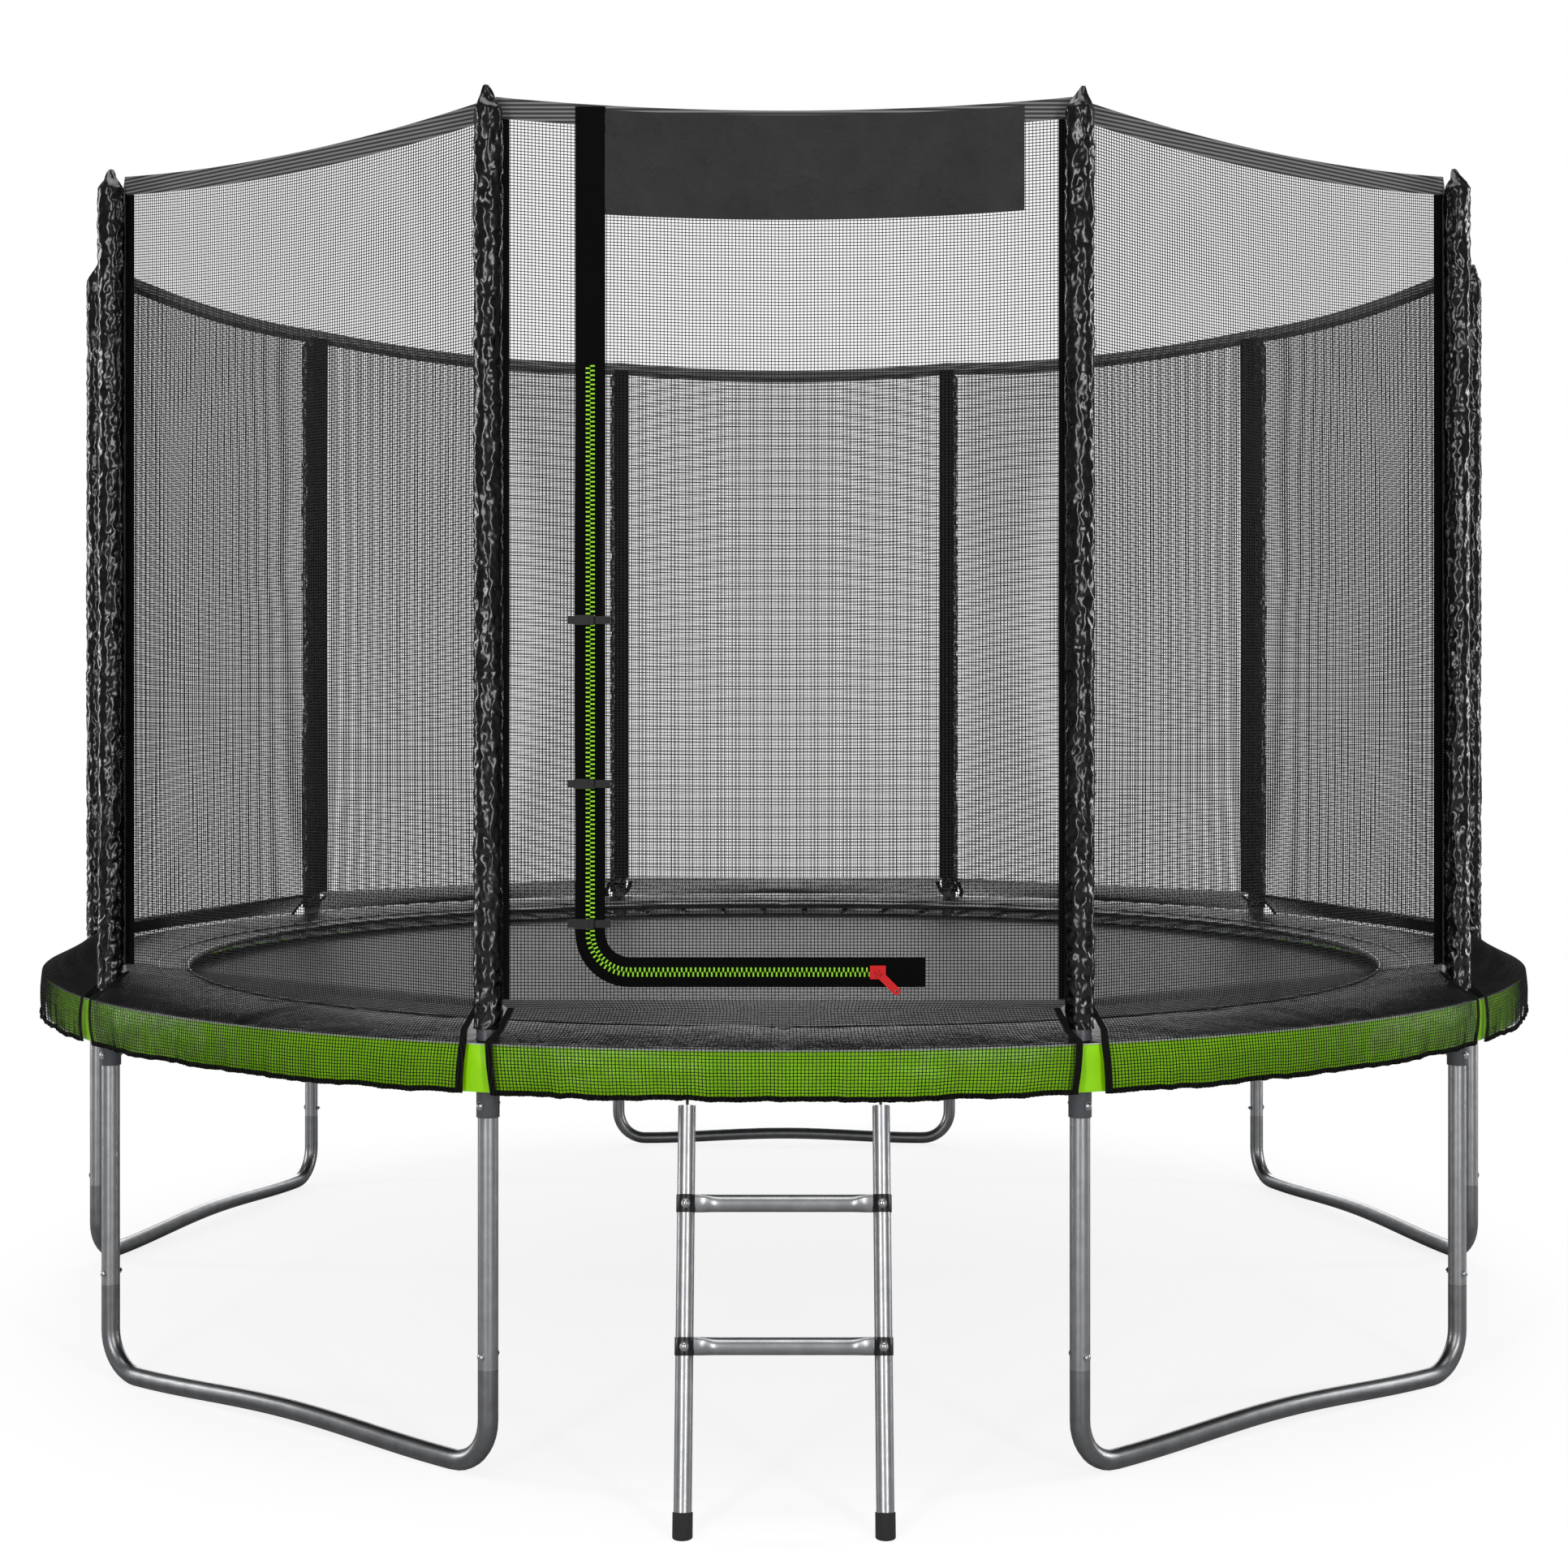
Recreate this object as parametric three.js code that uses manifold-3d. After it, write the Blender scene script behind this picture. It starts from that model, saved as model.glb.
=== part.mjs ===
// A round backyard trampoline with an enclosure net: ten curved rails form the ring,
// ten uprights on five U-shaped bases carry it, ten padded poles hold the net,
// and a two-step ladder hangs on the front rail.
// Millimetres, +Z up. The origin is on the ground under the centre of the mat,
// and the door and the ladder face -Y.
import * as THREE from "three";
import { mergeVertices } from "three/addons/utils/BufferGeometryUtils.js";
import Module from "manifold-3d";

const wasm = await Module();
wasm.setup();

// Fits
const FIT_GAP = 0.3; // between pieces that touch
const HANG_GAP = 1.5; // between cloth and what it hangs against

// Ring of rails
const FRAME_DIAMETER = 3660; // outside of the ring
const RAIL_TUBE = 42;
const RAIL_WALL = 1.5;
const RAIL_HEIGHT = 785; // centre of the ring above the ground
const BAYS = 10; // one pole at each corner
const BAY = (2 * Math.PI) / BAYS;
const SPIGOT_LENGTH = 60; // of each socket inside the next rail
const RAIL_STEPS = 6;

// Sockets, legs and poles
const SOCKET_WALL = 1.5;
const SOCKET_BELOW = 102; // under the centre of the ring
const SOCKET_OVER_PAD = 19.5; // how far it stands out of the frame pad
const LEG_TUBE = 39;
const LEG_WALL = 1.5;
const UPRIGHT_IN_SOCKET = 67;
const STUB_HEIGHT = 207; // where an upright seats on its base
const NECK_LENGTH = 60; // of the base inside the upright
const BASE_BEND = 90; // centreline radius of the base's corners
const BASE_BOW = 15; // rise of the base's middle off the ground
const POLE_ABOVE_RAIL = 13; // lower end of the pole over the ring's centre
const SLEEVE_DIAMETER = 57;
const ENCLOSURE_HEIGHT = 2632; // tops of the poles above the ground
const CAP_HEIGHT = 25;
const CAP_SHOULDER = 9; // how far the cap draws in where it turns over

// Jumping mat and springs
const SPRING_ROOM = 188; // from the mat's edge to the ring's tube
const MAT_THICKNESS = 3;
const MAT_HEM_WIDTH = 50;
const MAT_HEM_THICKNESS = 7;
const SPRINGS = 80;
const SPRING_DIAMETER = 20;
const SPRING_GAP = 2; // to the mat, and to the ladder's hooks inside the ring
const HOOP_WIDTH = 8;
const HOOP_HEIGHT = 22;

// Frame pad and its skirt
const PAD_OVER_MAT = 83; // how far it covers the mat
const PAD_OVERHANG = 20; // outside the ring's tube
const PAD_THICKNESS = 15;
const PAD_ABOVE_HOOK = 0.5; // over the ladder's hooks, which pass under it
const SKIRT_THICKNESS = 3;
const SKIRT_DROP = 95; // from the pad's top to the skirt's lower edge

// Net, banner and door
const NET_THICKNESS = 4;
const NET_ABOVE_PAD = 3;
const NET_TOP_DROP = 32; // from the pole tops to the net's upper edge
const SIDE_BAYS = 3; // bays in each of the left, back and right nets
const TAPE_WIDTH = 57;
const TAPE_THICKNESS = 1.5;
const TEETH_WIDTH = 18.4;
const TEETH_THICKNESS = 2;
const TEETH_DROP = 495; // from the net's upper edge to the first tooth
const ZIP_INSET = 181; // from the panel's left corner to the upright zip
const ZIP_END_INSET = 273; // from the panel's right corner to the level zip's end
const ZIP_ABOVE_PAD = 122.5; // from the pad's top to the level zip
const ZIP_BEND = 75;
const BANNER_INSET = 91; // from the panel's right corner to the banner
const BANNER_HEIGHT = 199;
const BANNER_DROP = 15; // from the net's upper edge
const BANNER_THICKNESS = 1;

// Zip slider and pull
const SLIDER_FROM_END = 98; // along the level zip
const SLIDER_LENGTH = 30;
const SLIDER_SIDE = 3.3; // of the channel, beside the teeth
const SLIDER_THICKNESS = 5;
const BAIL_SPAN = 12;
const BAIL_HEIGHT = 7;
const BAIL_BAR = 2;
const BAIL_WIDTH = 4;
const PULL_LENGTH = 57;
const PULL_WIDTH = 15;
const PULL_THICKNESS = 2;
const PULL_EYE = 9; // from the hinge line to the far end of the eye
const PULL_BAR = 2;
const PULL_SLACK = 1; // between the eye and the arch
const PULL_HOLE = 5;
const PULL_TURN = -Math.PI / 4; // the pull hangs down and to the right

// Buckles across the upright zip
const BUCKLE_RISES = [669, 358, 92]; // above the level zip
const BUCKLE_OFFSET = 30; // from the upright zip to the socket's closed end
const BUCKLE_SOCKET_LENGTH = 28;
const BUCKLE_HEIGHT = 19;
const BUCKLE_DEPTH = 8;
const BUCKLE_WALL = 1.5;
const BUCKLE_COLLAR = 9;
const BUCKLE_TONGUE = 22;
const BUCKLE_SLOT = 6;
const STRAP_WIDTH = 15;
const STRAP_THICKNESS = 1.5;
const STRAP_SOCKET_LENGTH = 13;
const STRAP_CLIP_LENGTH = 32;

// Ladder
const LADDER_TUBE = 32;
const LADDER_SPACING = 356; // between the centres of its rails
const LADDER_FOOT_OUT = 236; // from the ring's centreline to the foot
const LADDER_TOP_OUT = 45; // from the ring's centreline to the top of the rail
const LADDER_UNDER_SKIRT = 10.5; // from the skirt's edge to the top of the rail
const RUNG_DIAMETER = 31;
const RUNG_HEIGHTS = { lower: 313, upper: 555 };
const RUNG_FLAT = 12; // thickness of a rung's flattened end
const RUNG_FLAT_LENGTH = 26;
const FOOT_WALL = 1.5;
const FOOT_LENGTH = 41;
const FOOT_FLOOR = 6; // rubber under the rail
const HOOK_THICKNESS = 5;
const HOOK_WIDTH = 5;
const HOOK_CLEARANCE = 1.5; // between the hook and the ring
const HOOK_TIP = -20; // degrees, where the hook ends inside the ring
const HOOK_STEM = 18;

// Facets
const TUBE_SIDES = 12;
const RING_SIDES = 60;

// Sizes and places worked out from the ones above. A radius is to a tube's corners,
// so a bore and what slips into it are sized across the flats.
const SHORTEN = Math.cos(Math.PI / TUBE_SIDES); // flats of a tube over its corners
const slipInside = (bore) => bore * SHORTEN - FIT_GAP;
const boreFor = (bar) => (bar + FIT_GAP) / SHORTEN;
const RING_RADIUS = (FRAME_DIAMETER - RAIL_TUBE) / 2;
// The ring's rails are straight between steps, so they reach in a little there.
const CHORD_RADIUS = RING_RADIUS * Math.cos(BAY / RAIL_STEPS / 2);
const LEG_RADIUS = LEG_TUBE / 2;
const SOCKET_RADIUS = boreFor(LEG_RADIUS) + SOCKET_WALL;
const FOOT_RADIUS = boreFor(LADDER_TUBE / 2) + FOOT_WALL;
const SLEEVE_RADIUS = SLEEVE_DIAMETER / 2;
const SOCKET_BOTTOM = RAIL_HEIGHT - SOCKET_BELOW;
const HOOK_INSIDE = RAIL_TUBE / 2 + RING_RADIUS - CHORD_RADIUS + HOOK_CLEARANCE;
const HOOK_OUTSIDE = HOOK_INSIDE + HOOK_WIDTH;
const PAD_BOTTOM = RAIL_HEIGHT + HOOK_OUTSIDE + PAD_ABOVE_HOOK;
const PAD_TOP = PAD_BOTTOM + PAD_THICKNESS;
const SKIRT_BOTTOM = PAD_TOP - SKIRT_DROP;
const SOCKET_TOP = PAD_TOP + SOCKET_OVER_PAD;
const MAT_RADIUS = RING_RADIUS - RAIL_TUBE / 2 - SPRING_ROOM;
const PAD_INNER_RADIUS = MAT_RADIUS - PAD_OVER_MAT;
const PAD_OUTER_RADIUS = FRAME_DIAMETER / 2 + PAD_OVERHANG;
const NET_BOTTOM = PAD_TOP + NET_ABOVE_PAD;
const NET_TOP = ENCLOSURE_HEIGHT - NET_TOP_DROP;
const NET_OUT = RING_RADIUS * Math.cos(BAY / 2) - SLEEVE_RADIUS - HANG_GAP;
const TAPE_FACE = NET_OUT + FIT_GAP + TAPE_THICKNESS;
const TEETH_FACE = TAPE_FACE + TEETH_THICKNESS;
const PANEL_CORNER = NET_OUT * Math.tan(BAY / 2); // half the front panel's width
const ZIP_X = -(PANEL_CORNER - ZIP_INSET);
const ZIP_END_X = PANEL_CORNER - ZIP_END_INSET;
const ZIP_BOTTOM = PAD_TOP + ZIP_ABOVE_PAD;
const TEETH_TOP = NET_TOP - TEETH_DROP;
const BANNER_END_X = PANEL_CORNER - BANNER_INSET;
const SLIDER_X = ZIP_END_X - SLIDER_FROM_END;
const BUCKLE_SOCKET_X = ZIP_X - BUCKLE_OFFSET;
const LADDER_X = LADDER_SPACING / 2;
const LADDER_RING_Y = -Math.sqrt(RING_RADIUS ** 2 - LADDER_X ** 2);
// Poles that share a base, two and two round the ring.
const LEG_PAIRS = [
  [9, 8],
  [0, 1],
  [7, 6],
  [2, 3],
  [4, 5],
];

const finish = (color, roughness, metalness = 0) =>
  new THREE.MeshStandardMaterial({ color, roughness, metalness });
const STEEL = finish(0xb4b8bb, 0.38, 0.9);
const CHROME = finish(0xd8dadb, 0.15, 1);
const SLEEVE = finish(0x0c0c0c, 0.25);
const RUBBER = finish(0x161616, 0.75);
const MAT_CLOTH = finish(0x141414, 0.7);
const NETTING = finish(0x101010, 0.8);
const WEBBING = finish(0x0d0d0c, 0.85);
const BLACK_PVC = finish(0x121214, 0.35);
const GREEN_PVC = finish(0x8ad20c, 0.35);
const RED_PLASTIC = finish(0xdf1217, 0.35);
const BLACK_PLASTIC = finish(0x0a0a0a, 0.35);
const BANNER_CLOTH = finish(0x3a3939, 0.7);

const part = new THREE.Group();

// ---- solids -------------------------------------------------------------------

// The geometry as a manifold-3d solid.
function solid(geometry) {
  const bare = geometry.index ? geometry.toNonIndexed() : geometry.clone();
  bare.deleteAttribute("normal");
  bare.deleteAttribute("uv");
  const merged = mergeVertices(bare, 1e-3);
  return new wasm.Manifold(
    new wasm.Mesh({
      numProp: 3,
      vertProperties: merged.attributes.position.array,
      triVerts: new Uint32Array(merged.index.array),
    }),
  );
}

// A manifold-3d solid as a geometry.
function geometryOf(body) {
  const mesh = body.getMesh();
  return new THREE.BufferGeometry()
    .setAttribute("position", new THREE.BufferAttribute(mesh.vertProperties, 3))
    .setIndex(new THREE.BufferAttribute(mesh.triVerts, 1));
}

const join = (...shapes) =>
  geometryOf(shapes.map(solid).reduce((a, b) => a.add(b)));

const cut = (shape, ...tools) =>
  geometryOf(tools.map(solid).reduce((a, b) => a.subtract(b), solid(shape)));

function addMesh(name, geometry, material) {
  const mesh = new THREE.Mesh(geometry, material);
  mesh.name = name;
  part.add(mesh);
  return mesh;
}

// ---- shapes -------------------------------------------------------------------

// A path that is stepped exactly at the points it is given.
class StepPath extends THREE.Curve {
  constructor(points) {
    super();
    this.points = points;
  }

  getPoint(t, target = new THREE.Vector3()) {
    const last = this.points.length - 1;
    const at = THREE.MathUtils.clamp(t, 0, 1) * last;
    const i = Math.min(Math.floor(at), last - 1);
    return target.lerpVectors(this.points[i], this.points[i + 1], at - i);
  }

  getPointAt(u, target) {
    return this.getPoint(u, target);
  }

  getTangentAt(u, target) {
    return this.getTangent(u, target);
  }
}

function circle(radius, sides, path = new THREE.Shape(), x = 0, y = 0) {
  for (let i = 0; i < sides; i += 1) {
    const angle = (2 * Math.PI * i) / sides;
    const px = x + radius * Math.cos(angle);
    const py = y + radius * Math.sin(angle);
    if (i === 0) path.moveTo(px, py);
    else path.lineTo(px, py);
  }
  path.closePath();
  return path;
}

// A round bar swept through the points, or a tube where it has a bore.
function sweep(points, radius, bore = 0) {
  const shape = circle(radius, TUBE_SIDES);
  if (bore > 0) shape.holes.push(circle(bore, TUBE_SIDES, new THREE.Path()));
  return new THREE.ExtrudeGeometry(shape, {
    steps: points.length - 1,
    extrudePath: new StepPath(points),
    bevelEnabled: false,
  });
}

// A shape in the ground plane, raised from one height to another.
function raise(shape, bottom, top) {
  return new THREE.ExtrudeGeometry(shape, {
    depth: top - bottom,
    bevelEnabled: false,
  }).translate(0, 0, bottom);
}

// A shape drawn in X and Z, as deep as it is thick, with its back at the given Y.
function facing(shape, back, thickness) {
  return new THREE.ExtrudeGeometry(shape, {
    depth: thickness,
    bevelEnabled: false,
  })
    .rotateX(Math.PI / 2)
    .translate(0, back, 0);
}

// A profile of radius and height turned about the Z axis.
function turned(profile, sides) {
  const points = profile.map(([r, z]) => new THREE.Vector2(r, z));
  return new THREE.LatheGeometry(points, sides).rotateX(Math.PI / 2);
}

// A vertical round bar.
const upright = (radius, bottom, top) =>
  turned(
    [
      [0, bottom],
      [radius, bottom],
      [radius, top],
      [0, top],
    ],
    TUBE_SIDES,
  );

function box(x0, x1, y0, y1, z0, z1) {
  return new THREE.BoxGeometry(x1 - x0, y1 - y0, z1 - z0).translate(
    (x0 + x1) / 2,
    (y0 + y1) / 2,
    (z0 + z1) / 2,
  );
}

function rectangle(x0, x1, y0, y1) {
  return new THREE.Shape([
    new THREE.Vector2(x0, y0),
    new THREE.Vector2(x1, y0),
    new THREE.Vector2(x1, y1),
    new THREE.Vector2(x0, y1),
  ]);
}

// ---- places round the ring ----------------------------------------------------

// The angle of a pole from -Y towards +X; pole 0 is on the right of the door.
const poleAngle = (i) => (i + 0.5) * BAY;

const onCircle = (angle, radius, z = 0) =>
  new THREE.Vector3(radius * Math.sin(angle), -radius * Math.cos(angle), z);

// Points of the rail that starts at a pole, one chord apart, up to the next socket.
function railRun(i) {
  const angle = poleAngle(i);
  const end = BAY - (SOCKET_RADIUS + FIT_GAP) / RING_RADIUS;
  return Array.from({ length: RAIL_STEPS + 1 }, (_, k) =>
    onCircle(angle + (end * k) / RAIL_STEPS, RING_RADIUS, RAIL_HEIGHT),
  );
}

// The point a distance from one point towards another.
const towards = (from, to, distance) =>
  to.clone().sub(from).setLength(distance).add(from);

// ---- ring ---------------------------------------------------------------------

// A tube with a socket welded on its near end, and a spigot for the rail before it.
function addRail(i) {
  const at = onCircle(poleAngle(i), RING_RADIUS);
  const bore = RAIL_TUBE / 2 - RAIL_WALL;
  const spigot = slipInside(bore);
  const post = (radius, over) =>
    upright(radius, SOCKET_BOTTOM - over, SOCKET_TOP + over).translate(
      at.x,
      at.y,
      0,
    );
  const run = railRun(i);
  const hollow = run.slice();
  hollow[0] = towards(run[0], run[1], SOCKET_RADIUS + FIT_GAP);
  hollow.push(
    towards(hollow.pop(), run[RAIL_STEPS - 1], -SPIGOT_LENGTH),
  );
  const [inner, end] = railRun(i - 1).slice(-2);
  const tip = towards(end, inner, SPIGOT_LENGTH);
  const body = join(
    post(SOCKET_RADIUS, 0),
    sweep(run, RAIL_TUBE / 2),
    sweep([tip, towards(end, inner, -SOCKET_RADIUS)], spigot),
  );
  addMesh(
    `top_rail_${i + 1}`,
    cut(
      body,
      post(boreFor(LEG_RADIUS), 1),
      sweep(hollow, bore),
      sweep([towards(end, inner, SPIGOT_LENGTH + 1), end], spigot - RAIL_WALL),
    ),
    STEEL,
  );
}

// ---- legs and poles -----------------------------------------------------------

function addUpright(i) {
  const at = onCircle(poleAngle(i), RING_RADIUS);
  const top = SOCKET_BOTTOM + UPRIGHT_IN_SOCKET;
  const r = LEG_RADIUS;
  const bore = r - LEG_WALL;
  const bottom = STUB_HEIGHT + FIT_GAP;
  const tube = turned(
    [
      [bore, bottom],
      [r, bottom],
      [r, top],
      [bore, top],
      [bore, bottom],
    ],
    TUBE_SIDES,
  );
  addMesh(`leg_upright_${i + 1}`, tube.translate(at.x, at.y, 0), STEEL);
}

// Points of a base: down one stub, round the corner, along the bowed middle and up again.
function basePath(a, b) {
  const along = b.clone().sub(a);
  const span = along.length();
  along.normalize();
  const low = LEG_RADIUS;
  const bendSteps = 3;
  const bowSteps = 4;
  const half = [[0, STUB_HEIGHT]];
  for (let i = 0; i <= bendSteps; i += 1) {
    const turn = ((Math.PI / 2) * i) / bendSteps;
    half.push([
      BASE_BEND * (1 - Math.cos(turn)),
      low + BASE_BEND * (1 - Math.sin(turn)),
    ]);
  }
  const flat = span - 2 * BASE_BEND;
  const middle = [];
  for (let i = 1; i < bowSteps; i += 1) {
    const share = i / bowSteps;
    const lift = (BASE_BOW * (1 - Math.cos(2 * Math.PI * share))) / 2;
    middle.push([BASE_BEND + flat * share, low + lift]);
  }
  const mirrored = half.map(([d, z]) => [span - d, z]).reverse();
  return [...half, ...middle, ...mirrored].map(([d, z]) =>
    a.clone().addScaledVector(along, d).setZ(z),
  );
}

function addBase(k, [i, j]) {
  const a = onCircle(poleAngle(i), RING_RADIUS);
  const b = onCircle(poleAngle(j), RING_RADIUS);
  const neck = (at) =>
    upright(
      slipInside(LEG_RADIUS - LEG_WALL),
      STUB_HEIGHT - 1,
      STUB_HEIGHT + NECK_LENGTH,
    ).translate(at.x, at.y, 0);
  addMesh(
    `leg_base_${k + 1}`,
    join(sweep(basePath(a, b), LEG_RADIUS), neck(a), neck(b)),
    STEEL,
  );
}

function addPole(i) {
  const at = onCircle(poleAngle(i), RING_RADIUS);
  const shoulder = ENCLOSURE_HEIGHT - CAP_HEIGHT;
  const body = turned(
    [
      [0, RAIL_HEIGHT + POLE_ABOVE_RAIL],
      [LEG_RADIUS, RAIL_HEIGHT + POLE_ABOVE_RAIL],
      [LEG_RADIUS, SOCKET_TOP + FIT_GAP],
      [SLEEVE_RADIUS, SOCKET_TOP + FIT_GAP],
      [SLEEVE_RADIUS, shoulder],
      [SLEEVE_RADIUS - CAP_SHOULDER, ENCLOSURE_HEIGHT - CAP_SHOULDER],
      [0, ENCLOSURE_HEIGHT],
    ],
    TUBE_SIDES,
  );
  addMesh(`padded_pole_${i + 1}`, body.translate(at.x, at.y, 0), SLEEVE);
}

// ---- mat, springs, pad --------------------------------------------------------

function addMat() {
  const top = RAIL_HEIGHT + MAT_THICKNESS / 2;
  const bottom = top - MAT_THICKNESS;
  const hemTop = RAIL_HEIGHT + MAT_HEM_THICKNESS / 2;
  const hemBottom = hemTop - MAT_HEM_THICKNESS;
  const hemStart = MAT_RADIUS - MAT_HEM_WIDTH;
  const body = turned(
    [
      [0, bottom],
      [hemStart, bottom],
      [hemStart, hemBottom],
      [MAT_RADIUS, hemBottom],
      [MAT_RADIUS, hemTop],
      [hemStart, hemTop],
      [hemStart, top],
      [0, top],
    ],
    RING_SIDES,
  );
  addMesh("jump_mat", body, MAT_CLOTH);
}

// The springs lie like spokes and share one hoop, where the mat's rings hold them.
function addSprings() {
  const hoopStart = MAT_RADIUS + SPRING_GAP;
  const hoopEnd = hoopStart + HOOP_WIDTH;
  const half = HOOP_HEIGHT / 2;
  const hoop = turned(
    [
      [hoopStart, RAIL_HEIGHT - half],
      [hoopEnd, RAIL_HEIGHT - half],
      [hoopEnd, RAIL_HEIGHT + half],
      [hoopStart, RAIL_HEIGHT + half],
      [hoopStart, RAIL_HEIGHT - half],
    ],
    SPRINGS,
  );
  const outer = RING_RADIUS - HOOK_OUTSIDE - SPRING_GAP;
  const start = hoopStart + HOOP_WIDTH / 2;
  let set = solid(hoop);
  for (let i = 0; i < SPRINGS; i += 1) {
    const angle = ((i + 0.5) * 2 * Math.PI) / SPRINGS;
    const rod = new THREE.CylinderGeometry(
      SPRING_DIAMETER / 2,
      SPRING_DIAMETER / 2,
      outer - start,
      4,
    )
      .translate(0, (outer + start) / 2, 0)
      .rotateZ(Math.PI + angle)
      .translate(0, 0, RAIL_HEIGHT);
    set = set.add(solid(rod));
  }
  addMesh("spring_set", geometryOf(set), CHROME);
}

function addPad() {
  const shape = circle(PAD_OUTER_RADIUS, RING_SIDES);
  shape.holes.push(circle(PAD_INNER_RADIUS, RING_SIDES, new THREE.Path()));
  for (let i = 0; i < BAYS; i += 1) {
    const at = onCircle(poleAngle(i), RING_RADIUS);
    const radius = boreFor(SOCKET_RADIUS);
    const hole = circle(radius, TUBE_SIDES, new THREE.Path(), at.x, at.y);
    shape.holes.push(hole);
  }
  addMesh("frame_pad", raise(shape, PAD_BOTTOM, PAD_TOP), BLACK_PVC);
}

function addSkirt() {
  const inner = PAD_OUTER_RADIUS - SKIRT_THICKNESS;
  const top = PAD_BOTTOM - FIT_GAP;
  const body = turned(
    [
      [inner, SKIRT_BOTTOM],
      [PAD_OUTER_RADIUS, SKIRT_BOTTOM],
      [PAD_OUTER_RADIUS, top],
      [inner, top],
      [inner, SKIRT_BOTTOM],
    ],
    RING_SIDES,
  );
  addMesh("pad_skirt", body, GREEN_PVC);
}

// ---- net ----------------------------------------------------------------------

// A run of flat net panels from one pole to another, straight from pole to pole.
function addNet(name, first, bays) {
  const outside = NET_OUT / Math.cos(BAY / 2);
  const inside = (NET_OUT - NET_THICKNESS) / Math.cos(BAY / 2);
  const trim = FIT_GAP / 2 / NET_OUT;
  const shape = new THREE.Shape();
  const corners = [];
  for (let i = 0; i <= bays; i += 1) {
    const nudge = i === 0 ? trim : i === bays ? -trim : 0;
    corners.push(poleAngle(first + i) + nudge);
  }
  const outer = corners.map((angle) => onCircle(angle, outside));
  const inner = corners.map((angle) => onCircle(angle, inside)).reverse();
  [...outer, ...inner].forEach(({ x, y }, i) =>
    i === 0 ? shape.moveTo(x, y) : shape.lineTo(x, y),
  );
  shape.closePath();
  addMesh(name, raise(shape, NET_BOTTOM, NET_TOP), NETTING);
}

// The outline of a strip that follows the door's opening, with round corners.
function zipStrip(width, top) {
  const half = width / 2;
  const centreX = ZIP_X + ZIP_BEND;
  const centreZ = ZIP_BOTTOM + ZIP_BEND;
  const steps = 5;
  const corner = (radius, i) => {
    const angle = Math.PI + ((Math.PI / 2) * i) / steps;
    return [
      centreX + radius * Math.cos(angle),
      centreZ + radius * Math.sin(angle),
    ];
  };
  const points = [[ZIP_X - half, top]];
  for (let i = 0; i <= steps; i += 1) points.push(corner(ZIP_BEND + half, i));
  points.push([ZIP_END_X, ZIP_BOTTOM - half], [ZIP_END_X, ZIP_BOTTOM + half]);
  for (let i = steps; i >= 0; i -= 1) points.push(corner(ZIP_BEND - half, i));
  points.push([ZIP_X + half, top]);
  return new THREE.Shape(points.map(([x, z]) => new THREE.Vector2(x, z)));
}

function addZip() {
  const overlap = TAPE_THICKNESS / 2;
  const back = -(NET_OUT + FIT_GAP);
  const tape = facing(zipStrip(TAPE_WIDTH, NET_TOP), back, TAPE_THICKNESS);
  const teeth = facing(
    zipStrip(TEETH_WIDTH, TEETH_TOP),
    back - overlap,
    TEETH_FACE - TAPE_FACE + overlap,
  );
  addMesh("door_zip", join(tape, teeth), WEBBING);
}

function addBanner() {
  const left = ZIP_X + TAPE_WIDTH / 2 + FIT_GAP;
  const top = NET_TOP - BANNER_DROP;
  const back = -(NET_OUT + FIT_GAP);
  addMesh(
    "banner",
    box(
      left,
      BANNER_END_X,
      back - BANNER_THICKNESS,
      back,
      top - BANNER_HEIGHT,
      top,
    ),
    BANNER_CLOTH,
  );
}

// ---- zip slider and pull ------------------------------------------------------

// A channel that rides over the teeth, with an arch for the pull on its face.
function addSlider() {
  const back = -(TEETH_FACE + FIT_GAP);
  const front = back - SLIDER_THICKNESS;
  const lip = TEETH_THICKNESS;
  const inside = TEETH_WIDTH / 2 + FIT_GAP;
  const half = inside + SLIDER_SIDE;
  const x0 = SLIDER_X - SLIDER_LENGTH / 2;
  const x1 = SLIDER_X + SLIDER_LENGTH / 2;
  const z = ZIP_BOTTOM;
  const arch = cut(
    box(
      -BAIL_SPAN / 2,
      BAIL_SPAN / 2,
      -BAIL_HEIGHT,
      1,
      -BAIL_WIDTH / 2,
      BAIL_WIDTH / 2,
    ),
    box(
      -BAIL_SPAN / 2 + BAIL_BAR,
      BAIL_SPAN / 2 - BAIL_BAR,
      -BAIL_HEIGHT + BAIL_BAR,
      0,
      -BAIL_WIDTH,
      BAIL_WIDTH,
    ),
  )
    .rotateY(-PULL_TURN)
    .translate(SLIDER_X, front, z);
  addMesh(
    "zip_slider",
    join(
      box(x0, x1, front, back, z - half, z + half),
      box(x0, x1, front, back + lip, z + inside, z + half),
      box(x0, x1, front, back + lip, z - half, z - inside),
      arch,
    ),
    RED_PLASTIC,
  );
}

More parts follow.
